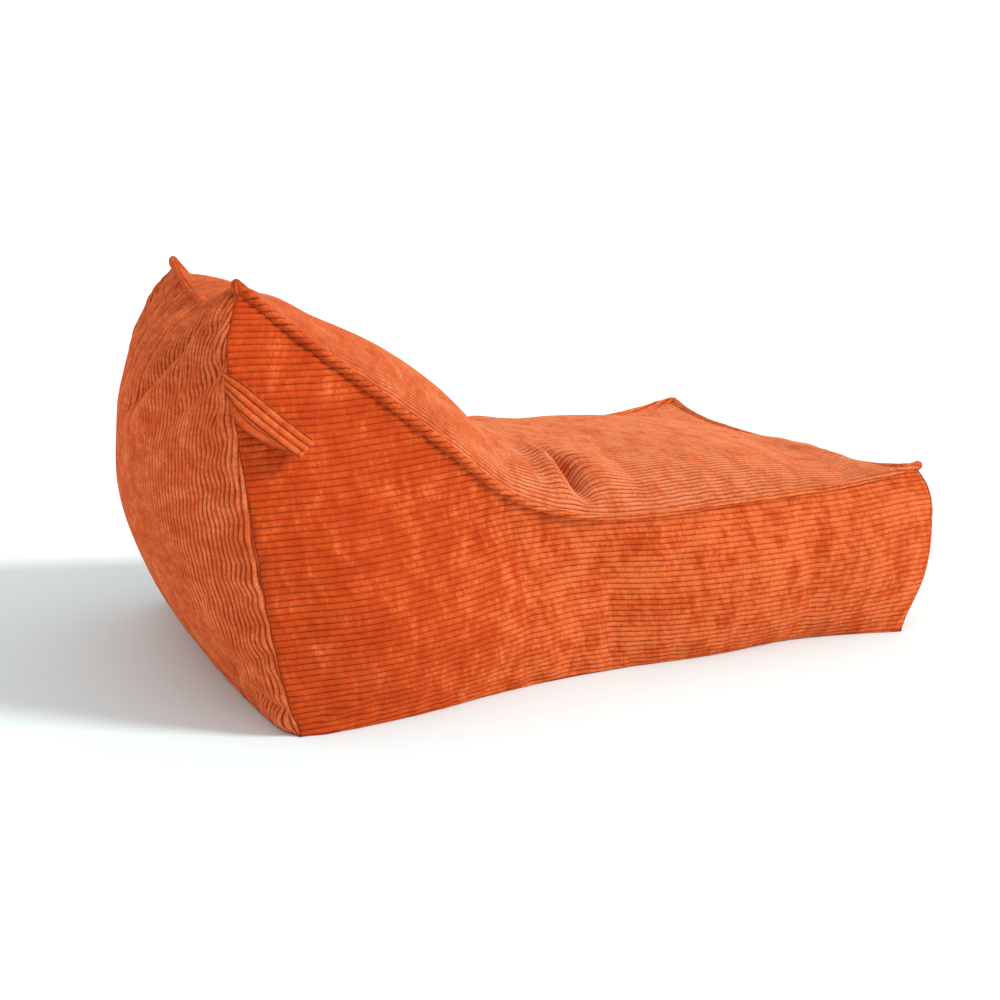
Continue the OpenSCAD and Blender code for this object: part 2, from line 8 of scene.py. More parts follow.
import bmesh
import bpy
import numpy as np
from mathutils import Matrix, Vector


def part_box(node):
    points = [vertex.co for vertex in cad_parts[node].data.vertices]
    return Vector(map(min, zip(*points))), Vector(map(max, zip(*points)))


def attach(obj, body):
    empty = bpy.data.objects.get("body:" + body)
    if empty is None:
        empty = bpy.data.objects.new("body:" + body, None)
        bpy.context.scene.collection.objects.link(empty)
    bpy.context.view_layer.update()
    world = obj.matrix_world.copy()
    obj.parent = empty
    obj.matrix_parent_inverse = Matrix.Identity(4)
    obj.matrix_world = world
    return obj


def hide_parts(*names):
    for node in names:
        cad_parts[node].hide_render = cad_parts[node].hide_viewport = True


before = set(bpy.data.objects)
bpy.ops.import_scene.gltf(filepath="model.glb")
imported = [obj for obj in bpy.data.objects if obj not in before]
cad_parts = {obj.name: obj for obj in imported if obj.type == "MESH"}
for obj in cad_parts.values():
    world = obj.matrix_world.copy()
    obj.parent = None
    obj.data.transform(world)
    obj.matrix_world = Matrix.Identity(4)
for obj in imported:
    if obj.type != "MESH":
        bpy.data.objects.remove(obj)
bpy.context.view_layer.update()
scene = bpy.context.scene
MM = 0.001

# ---- camera ----

CAMERA_AT = (-2.1225, 1.0768, 0.7714)
CAMERA_YAW, CAMERA_PITCH = 0.452, 0.232     # radians
CAMERA_LENS, CAMERA_SENSOR = 49.93, 36
camera = bpy.data.objects.new("camera", bpy.data.cameras.new("camera"))
scene.collection.objects.link(camera)
camera.data.lens = CAMERA_LENS
camera.data.sensor_width = CAMERA_SENSOR
camera.data.clip_end = 60
camera.location = CAMERA_AT
camera.rotation_euler = (math.pi / 2 - CAMERA_PITCH, 0,
                         -math.pi / 2 - CAMERA_YAW)
scene.camera = camera

# ---- cloth ----

PITCH = 9.5         # from one wale to the next
RELIEF = 2.6        # height of a wale over its groove
MIDDLE = 0.55       # the height in a wale that lies on the CAD's surface
SLACK = 0.035       # how much longer the cloth is than its seams
CAP = 12            # tallest buckle
SETTLE_FRAMES = 20
# How much of the buckles the beads behind each panel let through
LOOSE = {"top": 0.3, "back": 0.65, "foot": 0.4, "right": 0.32, "left": 0.4}
# Places of the rows of vertices across one wale, groove at 0
WALE_ROWS = np.array([0, 0.09, 0.24, 0.5, 0.76, 0.91])
FLOOR_GAP = 0.3     # the lowest that any cloth lies
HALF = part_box("foot_panel")[1][0] / MM + 0.3    # half the width at the seams
# Lengths of the panels' flat cuts along their wales, and of the foot's seams
TOP_CUT, SIDE_CUT, BACK_CUT, FOOT_CUT, FOOT_HIGH = 1290, 1120, 650, 320, 300
SIDES = (("right", -1.0), ("left", 1.0))


def smooth(x):
    x = np.clip(x, 0, 1)
    return x * x * (3 - 2 * x)


def bell(x, width):
    return np.exp(-(x / width) ** 2)


def wale(phase, flat=2.3):
    """Height of the pile across a wale, 0 in the groove and 1 on its crest."""
    return 1 - np.abs(2 * (phase % 1) - 1) ** flat


_lattices = {}


def noise(P, size, seed):
    """Smooth noise from -1 to 1 over points P, with features of one size."""
    if seed not in _lattices:
        _lattices[seed] = np.random.default_rng(seed).uniform(
            -1, 1, (32, 32, 32))
    L = _lattices[seed]
    X = P / size
    i = np.floor(X).astype(int)
    w = smooth(X - i)
    i &= 31
    j = (i + 1) & 31
    out = 0
    for a, wa in ((i[..., 0], 1 - w[..., 0]), (j[..., 0], w[..., 0])):
        for b, wb in ((i[..., 1], 1 - w[..., 1]), (j[..., 1], w[..., 1])):
            out = out + wa * wb * (L[a, b, i[..., 2]] * (1 - w[..., 2])
                                   + L[a, b, j[..., 2]] * w[..., 2])
    return out


# ---- shape of the body, as in part.scad ----

TOP = [[66, 582, 622], [43, 490, 541], [32, 391, 464], [27, 295, 385],
       [24, 196, 307], [20, 79, 268], [17, -46, 258], [13, -171, 261],
       [10, -296, 265], [6, -421, 271], [0, -552, 291]]
BACK = [[0, 543, 0], [0, 575, 156], [1, 595, 311], [7, 612, 467],
        [24, 613, 547], [66, 582, 622]]
FOOT = [[0, -541, 0], [0, -590, 100], [0, -595, 200], [0, -584, 250],
        [0, -552, 291]]
# How far the side's foot is tucked in, and how far each panel stands out
TUCK = [0, 13, 45, 55, 44, 49, 0]
CROWN = [0, 57, 89, 100, 90, 81, 74, 69, 57, 33, 0]
BACK_CROWN = [0, 46, 74, 89, 78, 45, 25, 13, 0]
SIDE_CROWN = [0, 16, 17, 18, 10, 7, 26, 36, 39, 35, 0]
SIDE_LOW = [0, 18, 13, 6, 0, 0, 0]
# How far the side panel's wales climb across the cut, back to foot
RISE = [0, 7, 15, 23, 31, 30, 28, 29, 31, 33, 34]
REAR_Y, FRONT_Y = BACK[0][1], FOOT[0][1]
ZIP_Y = 330
LEAN_Y, LEAN_Z = 59, 4      # how far the left ear is forward and down
HEAD_SAG = 45               # how far the head seam hangs between the ears
TOE_OUT, TOE_DROP = 12, 26  # the same for the foot seam, out and down
REAR_BOW, FRONT_BOW = 21, 20    # how far the base's ends bow out
FOOT_CROWN = 36


def vec(x, y, z):
    return np.stack(np.broadcast_arrays(x, y, z), -1).astype(float)


def unit(v):
    return v / np.maximum(np.linalg.norm(v, axis=-1, keepdims=True), 1e-9)


def curve(points, t):
    P = np.asarray(points, float)
    flat = P.ndim == 1
    if flat:
        P = P[:, None]
    n = len(P) - 1
    u = np.clip(t, 0, 1) * n
    i = np.minimum(np.floor(u).astype(int), n - 1)
    s = (u - i)[..., None]
    Q = np.vstack([2 * P[0] - P[1], P, 2 * P[-1] - P[-2]])
    a, b, c, d = Q[i], Q[i + 1], Q[i + 2], Q[i + 3]
    out = 0.5 * (2 * b + (c - a) * s + (2 * a - 5 * b + 4 * c - d) * s * s
                 + (3 * b - a - 3 * c + d) * s ** 3)
    return out[..., 0] if flat else out


def across(P, q, w):
    """Side line P at q across the width; w is how far the left ear leans."""
    g = (q + 1) / 2 * w
    return vec(q * (HALF - P[..., 0]), P[..., 1] - LEAN_Y * g,
               P[..., 2] - LEAN_Z * g)


def arch(a, p):
    return np.maximum(np.sin(np.pi * np.clip(a, 0, 1)), 0) ** p


def sag(q):
    return HEAD_SAG * (1 - np.abs(q) ** 1.5)


def bow(q):
    return 1 - q ** 4


def puff(q):
    return np.maximum(1 - np.abs(q) ** 2.4, 0) ** 0.8


def back_puff(q):
    return np.maximum(1 - np.abs(q) ** 2.15, 0) * (1 - 0.13 * q)


def brow(t):
    """The backrest swells just in front of the head seam."""
    high, at = 33, 0.045
    return high * (t / at * np.exp(1 - t / at)) ** 2


def top_edge(t, q):
    return across(curve(TOP, t), q, (1 - t) ** 3)


def top_base(t, q):
    t, q = np.broadcast_arrays(t, q)
    d = (curve(TOP, np.minimum(t + 0.001, 1))
         - curve(TOP, np.maximum(t - 0.001, 0)))
    n = unit(vec(0, d[..., 2], -d[..., 1]))
    toe = bow(q) * t ** 8
    return (top_edge(t, q)
            + vec(0, TOE_OUT * toe, -TOE_DROP * toe - sag(q) * (1 - t) ** 4.8)
            + n * ((curve(CROWN, t) + brow(t)) * puff(q))[..., None])


def back_base(k, q):
    k, q = np.broadcast_arrays(k, q)
    return (across(curve(BACK, k), q, k ** 2)
            + vec(0, REAR_BOW * bow(q) * (1 - k) ** 2
                  + curve(BACK_CROWN, k) * back_puff(q), -sag(q) * k ** 4))


def foot_base(k, q):
    k, q = np.broadcast_arrays(k, q)
    toe = bow(q) * k ** 5
    return (across(curve(FOOT, k), q, 0)
            + vec(0, TOE_OUT * toe - FRONT_BOW * bow(q) * (1 - k) ** 2
                  - FOOT_CROWN * arch(k, 0.9) * puff(q), -TOE_DROP * toe))


def base_line(t, q):
    return vec(q * (HALF - curve(TUCK, t)), REAR_Y + (FRONT_Y - REAR_Y) * t,
               0)


def side_base(t, k, q):
    t, k = np.broadcast_arrays(t, k)
    zero = np.zeros(t.shape)
    K, T = k[..., None], t[..., None]

    def up(line, w):
        return (across(curve(line, k), q, w * k ** 2)
                - across(curve(line, zero), q, 0) * (1 - K)
                - across(curve(line, zero + 1), q, w) * K)
    return (base_line(t, q) * (1 - K)
            + top_edge(t, q) * K
            + up(BACK, 1) * (1 - T) ** 3 + up(FOOT, 0) * T ** 6
            + vec(q * (curve(SIDE_CROWN, t) * arch(k ** 0.8, 0.8)
                       + curve(SIDE_LOW, t) * np.sin(2 * np.pi * k ** 0.9)),
                  0, 0))


def side_cut(q):
    return lambda t, k: side_base(t, k, q)


def under_t(y):
    return (REAR_Y - y) / (REAR_Y - FRONT_Y)


def under_base(t, q):
    t, q = np.broadcast_arrays(t, q)
    zip_t = under_t(ZIP_Y)
    P = base_line(t, q) + vec(
        0, REAR_BOW * bow(q) * np.maximum(1 - t / zip_t, 0) ** 2
        - FRONT_BOW * bow(q) * np.maximum((t - zip_t) / (1 - zip_t), 0) ** 6,
        0)
    return P + nip(P)


# ---- softness: what the cloth does that the seams do not say ----


def seam_pull(gap, end, x, y):
    """A sewn valley: gap is the distance from the seam, end from its ends."""
    w = 3.0 * bell(gap, 7) * smooth(end / 25)
    return w[..., None] * np.array([x, y, 0.0])


def back_waves(z, d, seed):
    """Buckles that run out of a gathered side seam into the back panel."""
    at = vec(z, d, 0)
    phase = (z + 0.3 * d) / 50 + 0.35 * noise(at, 120, seed)
    c = 0.5 + 0.5 * np.cos(2 * np.pi * phase)
    size = 1 + 0.7 * noise(at, 90, seed + 1)
    reach = (0.3 + 0.7 * smooth(d / 30)) * (0.75 * bell(d, 75)
                                           + 0.3 * bell(d - 60, 110))
    return (2 * c ** 0.7 - 1.1) * size * reach


def grid_faces(J, flip):
    """Faces of a grid whose corner numbers J may coincide along its rims."""
    a, b = J[:-1, :-1].ravel(), J[1:, :-1].ravel()
    c, d = J[1:, 1:].ravel(), J[:-1, 1:].ravel()
    low, high = a == d, b == c
    quads = np.stack([a, b, c, d], 1)[~low & ~high]
    tris = np.concatenate([np.stack([a, b, c], 1)[low & ~high],
                           np.stack([a, b, d], 1)[high & ~low]])
    return [f[:, ::-1] if flip else f for f in (quads, tris)]


def shell_faces(shape):
    """Faces of two layers of one grid, joined round their rims."""
    n = shape[0] * shape[1]
    J = np.arange(n).reshape(shape)
    rim = np.concatenate([J[0, :-1], J[:-1, -1], J[-1, :0:-1], J[:0:-1, 0]])
    after = np.roll(rim, -1)
    return (grid_faces(J, False) + grid_faces(J + n, True)
            + [np.stack([rim, after, after + n, rim + n], 1)])


def ring_numbers(n, k):
    """Point numbers of n closed rings of k points each."""
    J = np.arange(n * k).reshape(-1, k)
    return np.concatenate([J, J[:, :1]], 1)


def run_length(C):
    """Distance along the points C from the first of them."""
    return np.concatenate([[0], np.cumsum(np.linalg.norm(
        np.diff(C, axis=0), axis=-1))])


def face_outwards(mesh):
    bm = bmesh.new()
    bm.from_mesh(mesh)
    bmesh.ops.recalc_face_normals(bm, faces=bm.faces)
    bm.to_mesh(mesh)
    bm.free()


def body_grids(shapes, nt, nk, nq):
    """The panels as grids that meet point for point along every seam."""
    t, k = np.linspace(0, 1, nt), np.linspace(0, 1, nk)
    q = np.linspace(-1, 1, nq)
    T, K, Q = t[:, None], k[:, None], q[None]
    ends = {"top": (T, Q), "back": (K, Q), "foot": (K, Q),
            "right": (T, k[None]), "left": (T, k[None]), "under": (T, Q)}
    return {name: F(*ends[name]) for name, F in shapes.items()}


def weld(grids, dist=1.0):
    """Points of the joined grids, and each grid's point numbers in them."""
    V = np.concatenate([g.reshape(-1, 3) for g in grids.values()])
    bm = bmesh.new()
    verts = [bm.verts.new(v) for v in V]
    bm.verts.index_update()
    same = np.arange(len(V))
    for v, w in bmesh.ops.find_doubles(bm, verts=verts,
                                       dist=dist)["targetmap"].items():
        same[v.index] = w.index
    bm.free()
    kept, number = np.unique(same[same], return_inverse=True)
    numbers, start = {}, 0
    for name, g in grids.items():
        size = g.shape[0] * g.shape[1]
        numbers[name] = number[start:start + size].reshape(g.shape[:2])
        start += size
    return V[kept], numbers


def blurred(D, cells):
    """Gaussian blur of a grid of vectors over its two directions."""
    reach = int(3 * cells)
    w = bell(np.arange(-reach, reach + 1), cells * 1.41)
    w = w / w.sum()
    for axis in (0, 1):
        pad = [(0, 0)] * 3
        pad[axis] = (reach, reach)
        X = np.pad(D, pad, mode="edge")
        n = D.shape[axis]
        D = sum(w[i] * np.take(X, range(i, i + n), axis)
                for i in range(2 * reach + 1))
    return D


def lookup(D):
    """Smooth reading of a grid of vectors at places from 0 to 1."""
    n, m = D.shape[:2]

    def weights(f):
        return (-f ** 3 / 2 + f * f - f / 2, 1.5 * f ** 3 - 2.5 * f * f + 1,
                -1.5 * f ** 3 + 2 * f * f + f / 2, (f ** 3 - f * f) / 2)

    def at(a, c):
        a, c = np.broadcast_arrays(a, c)
        u, w = np.clip(a, 0, 1) * (n - 1), np.clip(c, 0, 1) * (m - 1)
        i = np.minimum(np.floor(u).astype(int), n - 2)
        j = np.minimum(np.floor(w).astype(int), m - 2)
        out = 0
        for x, wx in enumerate(weights(u - i)):
            for y, wy in enumerate(weights(w - j)):
                out = out + (wx * wy)[..., None] * D[
                    np.clip(i + x - 1, 0, n - 1), np.clip(j + y - 1, 0, m - 1)]
        return out
    return at


def settle(V, numbers):
    """Slack cloth, held along its seams and blown out by the beads."""
    faces = np.concatenate([grid_faces(J, False)[0]
                            for J in numbers.values()])
    mesh = bpy.data.meshes.new("settle")
    mesh.from_pydata((V * MM).tolist(), [], faces.tolist())
    face_outwards(mesh)
    obj = bpy.data.objects.new("settle", mesh)
    scene.collection.objects.link(obj)
    seam = obj.vertex_groups.new(name="seam")
    rims = np.concatenate([np.concatenate([J[0], J[-1], J[:, 0], J[:, -1]])
                           for J in numbers.values()])
    seam.add(np.unique(rims).tolist(), 1.0, "REPLACE")
    cloth = obj.modifiers.new("settle", "CLOTH")
    c = cloth.settings
    c.quality = 5
    c.mass = 0.15
    c.tension_stiffness = c.compression_stiffness = 25
    c.shear_stiffness = 8
    c.bending_stiffness = 0.4
    c.shrink_min = -SLACK
    c.use_pressure = True
    c.uniform_pressure_force = 4
    c.effector_weights.gravity = 0
    c.vertex_group_mass = "seam"
    cloth.point_cache.frame_end = SETTLE_FRAMES
    for frame_now in range(1, SETTLE_FRAMES + 1):
        scene.frame_set(frame_now)
    done = obj.evaluated_get(bpy.context.evaluated_depsgraph_get())
    moved = np.empty(len(V) * 3)
    done.data.vertices.foreach_get("co", moved)
    bpy.data.objects.remove(obj)
    bpy.data.meshes.remove(mesh)
    scene.frame_set(1)
    return moved.reshape(-1, 3) / MM - V


def gathers():
    """Each panel's buckles from the simulation, without its general swell."""
    shapes = {"top": top_base, "back": back_base, "foot": foot_base,
              "right": side_cut(-1.0), "left": side_cut(1.0)}
    V, numbers = weld(body_grids(shapes, 105, 51, 67))
    D = settle(V, numbers)
    fields = {}
    for name, J in numbers.items():
        n, m = J.shape
        i, j = np.arange(n)[:, None], np.arange(m)[None]
        rim = np.minimum(np.minimum(i, n - 1 - i), np.minimum(j, m - 1 - j))
        # Away from the seams only what is finer than 4 cells is kept
        d = D[J] - blurred(D[J], 4) * smooth(rim / 5)[..., None]
        size = np.linalg.norm(d, axis=-1, keepdims=True)
        d = d * LOOSE[name] * CAP * np.tanh(size / CAP) / np.maximum(
            size, 1e-9)
        fields[name] = lookup(d)
    return fields


def nip(P):
    """The bottom back corners are rounded, and the left ear is drawn in."""
    out = np.zeros(P.shape)
    for q in (-1.0, 1.0):
        corner = base_line(np.array(0.0), q)
        w = 13 * bell(np.linalg.norm(P - corner, axis=-1), 30)
        out = out + w[..., None] * np.array([-0.75 * q, -0.65, 0.0])
    ear = across(curve(BACK, np.array(0.78)), 1.0, 0.61)
    w = 9 * bell(np.linalg.norm(P - ear, axis=-1), 50)
    return out + w[..., None] * np.array([-0.44, -0.9, 0.0])


def soft_top(t, q, P):
    x, y = P[..., 0], P[..., 1]
    up = 3.0 * noise(P, 150, 11) * puff(q)
    # The seat stands full behind the foot seam on the sitter's right
    up = up + 17 * bell(t - 0.968, 0.032) * smooth((1 - t) / 0.02) \
        * bell(q + 0.38, 0.4)
    # The roll of the backrest over the seat, and the valley under it
    for x0, deep in ((-232, 1.0), (225, 0.6)):
        line = y - 48 - 0.10 * np.abs(x - x0)
        w = deep * bell(x - x0, 88) * smooth((1 - np.abs(q)) / 0.14)
        up = up + w * (-31 * bell(line, 17) + 18 * bell(line - 36, 23)
                       + 9 * bell(line + 52, 34))
        # Short gathers run from the valley up on to the seat
        up = up + 1.8 * w * bell(line + 30, 26) * np.cos(x / 3.4 + y / 40)
    return vec(0, 0, up)


# Strength of the back seams' buckles, and their seed
RIGHT_WAVES, LEFT_WAVES = (2.2, 21), (1.4, 31)


def soft_back(k, q, P):
    half = HALF - curve(BACK, k)[..., 0]
    z = P[..., 2]
    right, left = (1 + q) * half, (1 - q) * half
    body = smooth(k / 0.05) * smooth((1 - k) / 0.12)
    y = sum(size * back_waves(z, d, seed) * body for d, (size, seed) in
            ((right, RIGHT_WAVES), (left, LEFT_WAVES)))
    # One deep fold runs down from the carry handle
    line = (z - 520) + 0.63 * (right - 22)
    near = smooth(right / 25) * bell(right - 75, 90)
    y = y - 6.5 * bell(line, 13) * near
    y = y + 4.5 * bell(line - 26, 18) * near
    y = y + 3.5 * noise(P, 130, 41) * puff(q) * body
    # Beside the right ear the back stands up over the head seam
    crest = 13 * bell(k - 0.955, 0.04) * smooth((1 - k) / 0.02) \
        * smooth(right / 30) * bell(right - 80, 95)
    # A tuck over each bottom corner, and the corner's own small swell
    for d in (right, left):
        low = z - 42 - 0.12 * d
        y = y + (6 * bell(low + 24, 15) - 6 * bell(low, 8)
                 + 4 * bell(low - 18, 12)) * bell(d - 20, 60) \
            * smooth(d / 22) * smooth(k / 0.02) * 1.4
    # A crest runs down and across from the right ear, with a hollow behind it
    off = (right - 60 - 1.5 * (600 - z)) / 1.8
    high = smooth((z - 390) / 80) * smooth((1 - k) / 0.12) \
        * smooth(right / 60) * smooth(left / 120)
    y = y + high * (17 * bell(off + 20, 26) - 25 * bell(off - 24, 24))
    # The left ear is drawn in towards the head seam
    y = y - 9 * bell(k - 0.86, 0.12) * bell(q - 0.78, 0.3) \
        * smooth((1 - q) / 0.1)
    return vec(0, y, crest) + nip(P)


def soft_side(t, k, q, P):
    y, z = P[..., 1], P[..., 2]
    out = 3.0 * noise(P, 170, 51 + int(q)) * arch(t, 0.6) * arch(k, 0.6)
    # The side hollows where the backrest rises from the seat
    out = out - 4 * bell(y - 95 - 0.15 * (z - 130), 45) * smooth(k / 0.2) \
        * smooth((1 - k) / 0.1)
    # The cloth is bunched at the ears
    to_ear = np.hypot(t * TOP_CUT, (1 - k) * 600)
    out = out + 3.2 * noise(P, 17, 95) * bell(to_ear, 85) \
        * smooth(t / 0.008) * smooth((1 - k) / 0.012)
    # Folds fan out of the bottom back corner
    back_off, reach = REAR_Y - y, np.hypot(REAR_Y - y, z)
    for slope, deep, width in ((0.30, 6.5, 8), (0.78, 5.0, 8),
                               (0.52, -4.5, 9)):
        off = (z - slope * back_off) / math.hypot(1, slope)
        out = out - deep * bell(off, width) * smooth(reach / 40) \
            * bell(reach - 40, 70) * smooth(k / 0.03)
    # The base buckles up where the seat begins
    out = out - 5 * bell(y - 150 - 0.5 * z, 16) * bell(z - 10, 45) \
        * smooth(k / 0.02)
    D = vec(q * out, 0, 0)
    # The back seam's own waves carry on a little way into the side
    size, seed = RIGHT_WAVES if q < 0 else LEFT_WAVES
    wave = back_waves(z, 0 * z, seed) * size * smooth(k / 0.05) \
        * smooth((1 - k) / 0.12)
    D[..., 1] += wave * bell(t * SIDE_CUT, 40)
    return D + nip(P)


def soft_foot(k, q, P):
    return vec(0, 2.5 * noise(P, 120, 61) * puff(q) * arch(k, 0.6), 0)


gather = gathers()


def top(t, q):
    P = top_base(t, q)
    return P + soft_top(t, q, P) + gather["top"](t, (q + 1) / 2)


def back(k, q):
    P = back_base(k, q)
    half = HALF - curve(BACK, k)[..., 0]
    end = np.minimum(k, 1 - k) * BACK_CUT
    return (P + soft_back(k, q, P) + gather["back"](k, (q + 1) / 2)
            + seam_pull((1 + q) * half, end, 0.7, -0.7)
            + seam_pull((1 - q) * half, end, -0.7, -0.7))


def foot(k, q):
    P = foot_base(k, q)
    end = np.minimum(k, 1 - k) * FOOT_HIGH
    return (P + soft_foot(k, q, P) + gather["foot"](k, (q + 1) / 2)
            + seam_pull((1 + q) * HALF, end, 0.7, 0.7)
            + seam_pull((1 - q) * HALF, end, -0.7, 0.7))


def side(q):
    def surface(t, k):
        P = side_base(t, k, q)
        end = np.minimum(k, 1 - k)
        return (P + soft_side(t, k, q, P)
                + gather["right" if q < 0 else "left"](t, k)
                + seam_pull(t * SIDE_CUT, end * BACK_CUT, -0.7 * q, -0.7)
                + seam_pull((1 - t) * SIDE_CUT, end * FOOT_HIGH, -0.7 * q,
                            0.7))
    return surface


# ---- meshes ----


def make_piece(name, V, faces, uv, body="chair"):
    """A mesh object from points in millimetres and lists of index arrays."""
    faces = [f for f in faces if len(f)]
    used = np.unique(np.concatenate([f.ravel() for f in faces]))
    index = np.zeros(len(V), int)
    index[used] = np.arange(len(used))
    loops = np.concatenate([index[f].ravel() for f in faces])
    sizes = np.concatenate([np.full(len(f), f.shape[1]) for f in faces])
    mesh = bpy.data.meshes.new(name)
    mesh.vertices.add(len(used))
    mesh.vertices.foreach_set("co", (V[used] * MM).ravel())
    mesh.loops.add(len(loops))
    mesh.loops.foreach_set("vertex_index", loops)
    mesh.polygons.add(len(sizes))
    mesh.polygons.foreach_set("loop_start",
                              np.concatenate([[0], np.cumsum(sizes)[:-1]]))
    mesh.polygons.foreach_set("use_smooth", np.ones(len(sizes), bool))
    layer = mesh.uv_layers.new(name="cloth")
    layer.data.foreach_set("uv", uv[used][loops].ravel())
    mesh.update(calc_edges=True)
    mesh.validate()
    obj = bpy.data.objects.new(name, mesh)
    scene.collection.objects.link(obj)
    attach(obj, body)
    return obj


def normals(F, a, c, lo, outside):
    """Unit normals of F that point outside, and whether they were turned."""
    e = 0.0015
    da = F(np.minimum(a + e, 1), c) - F(np.maximum(a - e, 0), c)
    dc = F(a, np.minimum(c + e, 1)) - F(a, np.maximum(c - e, lo))
    n = unit(np.cross(da, dc))
    mean = n.reshape(-1, 3).mean(0)
    flip = mean @ np.asarray(outside, float) < 0
    return (-n if flip else n), flip


def even_steps(length, step, fine=(0, 1.2, 2.8, 5, 8.5)):
    """Fractions of a length, a step apart and closer at both ends."""
    ends = np.array(fine) / length
    n = max(int(round((length - 2 * fine[-1]) / step)), 2)
    mid = np.linspace(ends[-1], 1 - ends[-1], n + 1)
    return np.concatenate([ends[:-1], mid, 1 - ends[:-1][::-1]])


def wale_rows(F, A, lo, rise):
    """For each column of A: the rows' places c, their phase, and more.

    Phase counts wales from c = 0. The third array is the phase over the
    whole column, and the fourth numbers the rows, with those that lie past
    the panel's edge joined to the edge.
    """
    c = lo + (1 - lo) * (1 - np.cos(np.pi * np.linspace(0, 1, 301))) / 2
    P = F(A[:, None], c[None, :])
    s = np.concatenate([np.zeros((len(A), 1)), np.cumsum(np.linalg.norm(
        np.diff(P, axis=1), axis=-1), axis=1)], 1)
    phase = np.stack([(row - np.interp(0, c, row)) / PITCH for row in s])
    phase = phase - np.reshape(rise, (-1, 1)) / PITCH
    wales = np.arange(math.floor(phase.min()), math.ceil(phase.max()))
    rows = np.append((wales[:, None] + WALE_ROWS).ravel(), wales[-1] + 1)
    C = np.stack([np.interp(rows, p, c) for p in phase])
    first = np.array([np.searchsorted(rows, p[0], "right") - 1
                      for p in phase])
    last = np.array([np.searchsorted(rows, p[-1], "left") for p in phase])
    J = np.clip(np.arange(len(rows))[None], np.maximum(first, 0)[:, None],
                np.minimum(last, len(rows) - 1)[:, None])
    return C, np.clip(rows[None], phase[:, :1], phase[:, -1:]), phase, J


def panel(name, node, base, F, length, step, lo, outside, climb=None,
          flat=3.0, deep=1.0):
    """One corduroy panel: F(a, c), with its wales along a.

    The wales are laid out on base, the shape before the cloth's folds.
    """
    A = even_steps(length, step)
    C, phi, phase, J = wale_rows(base, A, lo,
                                 curve(climb, A) if climb else 0.0)
    a = np.broadcast_to(A[:, None], C.shape)
    P = F(a, C)
    N, flip = normals(F, a, C, lo, outside)
    gap = np.minimum(a, 1 - a) * length
    rim = (phase[:, -1:] - phi) * PITCH
    rim = np.minimum(rim, (phi - phase[:, :1]) * PITCH) if lo < 0 else rim
    fade = smooth(gap / 3.2) * smooth(rim / 3.2)
    height = RELIEF * deep * (1 + 0.14 * noise(P, 24, 5))
    wander = 0.035 * noise(P, 55, 6)
    lift = height * (wale(phi + wander, flat) - MIDDLE) * fade \
        - MIDDLE * RELIEF * (1 - fade)
    V = P + N * lift[..., None]
    V[..., 2] = np.maximum(V[..., 2], FLOOR_GAP)
    J = np.arange(len(A))[:, None] * C.shape[1] + J
    uv = np.stack([phi + wander, a * length / PITCH], -1)
    obj = make_piece(name, V.reshape(-1, 3), grid_faces(J, flip),
                     uv.reshape(-1, 2))
    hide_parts(node)
    return obj, A, phase


coarse = 1.0
side_pieces = []
side_phase = {}
for label, q in SIDES:
    obj, A, phase = panel(
        f"side_{label}_cloth", f"side_panel_{label}", side_cut(q), side(q),
        SIDE_CUT, 6.2 * coarse, 0.0, (q, 0, 0), RISE)
    side_phase[q] = (A, phase[:, -1])
    side_pieces.append(obj)
top_piece = panel("seat_back_cloth", "seat_back_panel", top_base, top,
                  TOP_CUT, 6.4 * coarse, -1.0, (0, 0, 1), flat=2.6)[0]
back_piece = panel("back_cloth", "back_panel", back_base, back, BACK_CUT,
                   4.2 * coarse, -1.0, (0, 1, 0), flat=2.2, deep=1.25)[0]
foot_piece = panel("foot_cloth", "foot_panel", foot_base, foot, FOOT_CUT,
                   4.2 * coarse, -1.0, (0, -1, 0))[0]

# ---- underside ----


BASE_THICK = 1.6
SLOT_FRONT, SLOT_REAR = 325, 335    # the zip's slot runs between these


def under_part(name, node, t0, t1):
    """One of the base's two panels, a little uneven over the floor."""
    rows = max(int(abs(t1 - t0) * 90), 12)
    a, c = np.meshgrid(np.linspace(t0, t1, rows), np.linspace(-1, 1, 91),
                       indexing="ij")
    P = under_base(a, c)
    rim = np.minimum(np.minimum(a - t0, t1 - a) * (REAR_Y - FRONT_Y),
                     (1 - np.abs(c)) * HALF)
    P[..., 2] = FLOOR_GAP + (0.5 + 0.5 * noise(P, 90, 71)) \
        * smooth(rim / 40) * 0.8
    V = np.concatenate([P.reshape(-1, 3),
                        P.reshape(-1, 3) + [0, 0, BASE_THICK]])
    obj = make_piece(name, V, shell_faces(a.shape), V[:, :2] / PITCH)
    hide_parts(node)
    return obj


under_pieces = [
    under_part("base_front_cloth", "base_panel_front", under_t(SLOT_FRONT), 1),
    under_part("base_rear_cloth", "base_panel_rear", 0, under_t(SLOT_REAR))]

# ---- raised seams ----

RIDGE_RELIEF = 3.0
# Section of a raised seam, [towards the cloth that wraps it, out], and how
# much of the wales' relief shows there
RIDGE = np.array([
    [3.0, -7.0, 0.0], [4.0, -1.0, 0.4], [4.9, 1.2, 0.9], [5.6, 3.4, 1.0],
    [5.5, 5.8, 1.0], [4.6, 8.0, 1.0], [3.1, 9.6, 1.0], [1.4, 10.2, 0.9],
    [0.2, 9.6, 0.5], [-0.5, 8.7, 0.1], [-1.2, 9.2, 0.0], [-2.2, 9.7, 0.0],
    [-3.2, 8.9, 0.0], [-3.8, 7.0, 0.0], [-3.9, 4.4, 0.0], [-3.6, 1.6, 0.0],
    [-3.2, -1.4, 0.0], [-2.4, -7.0, 0.0]])


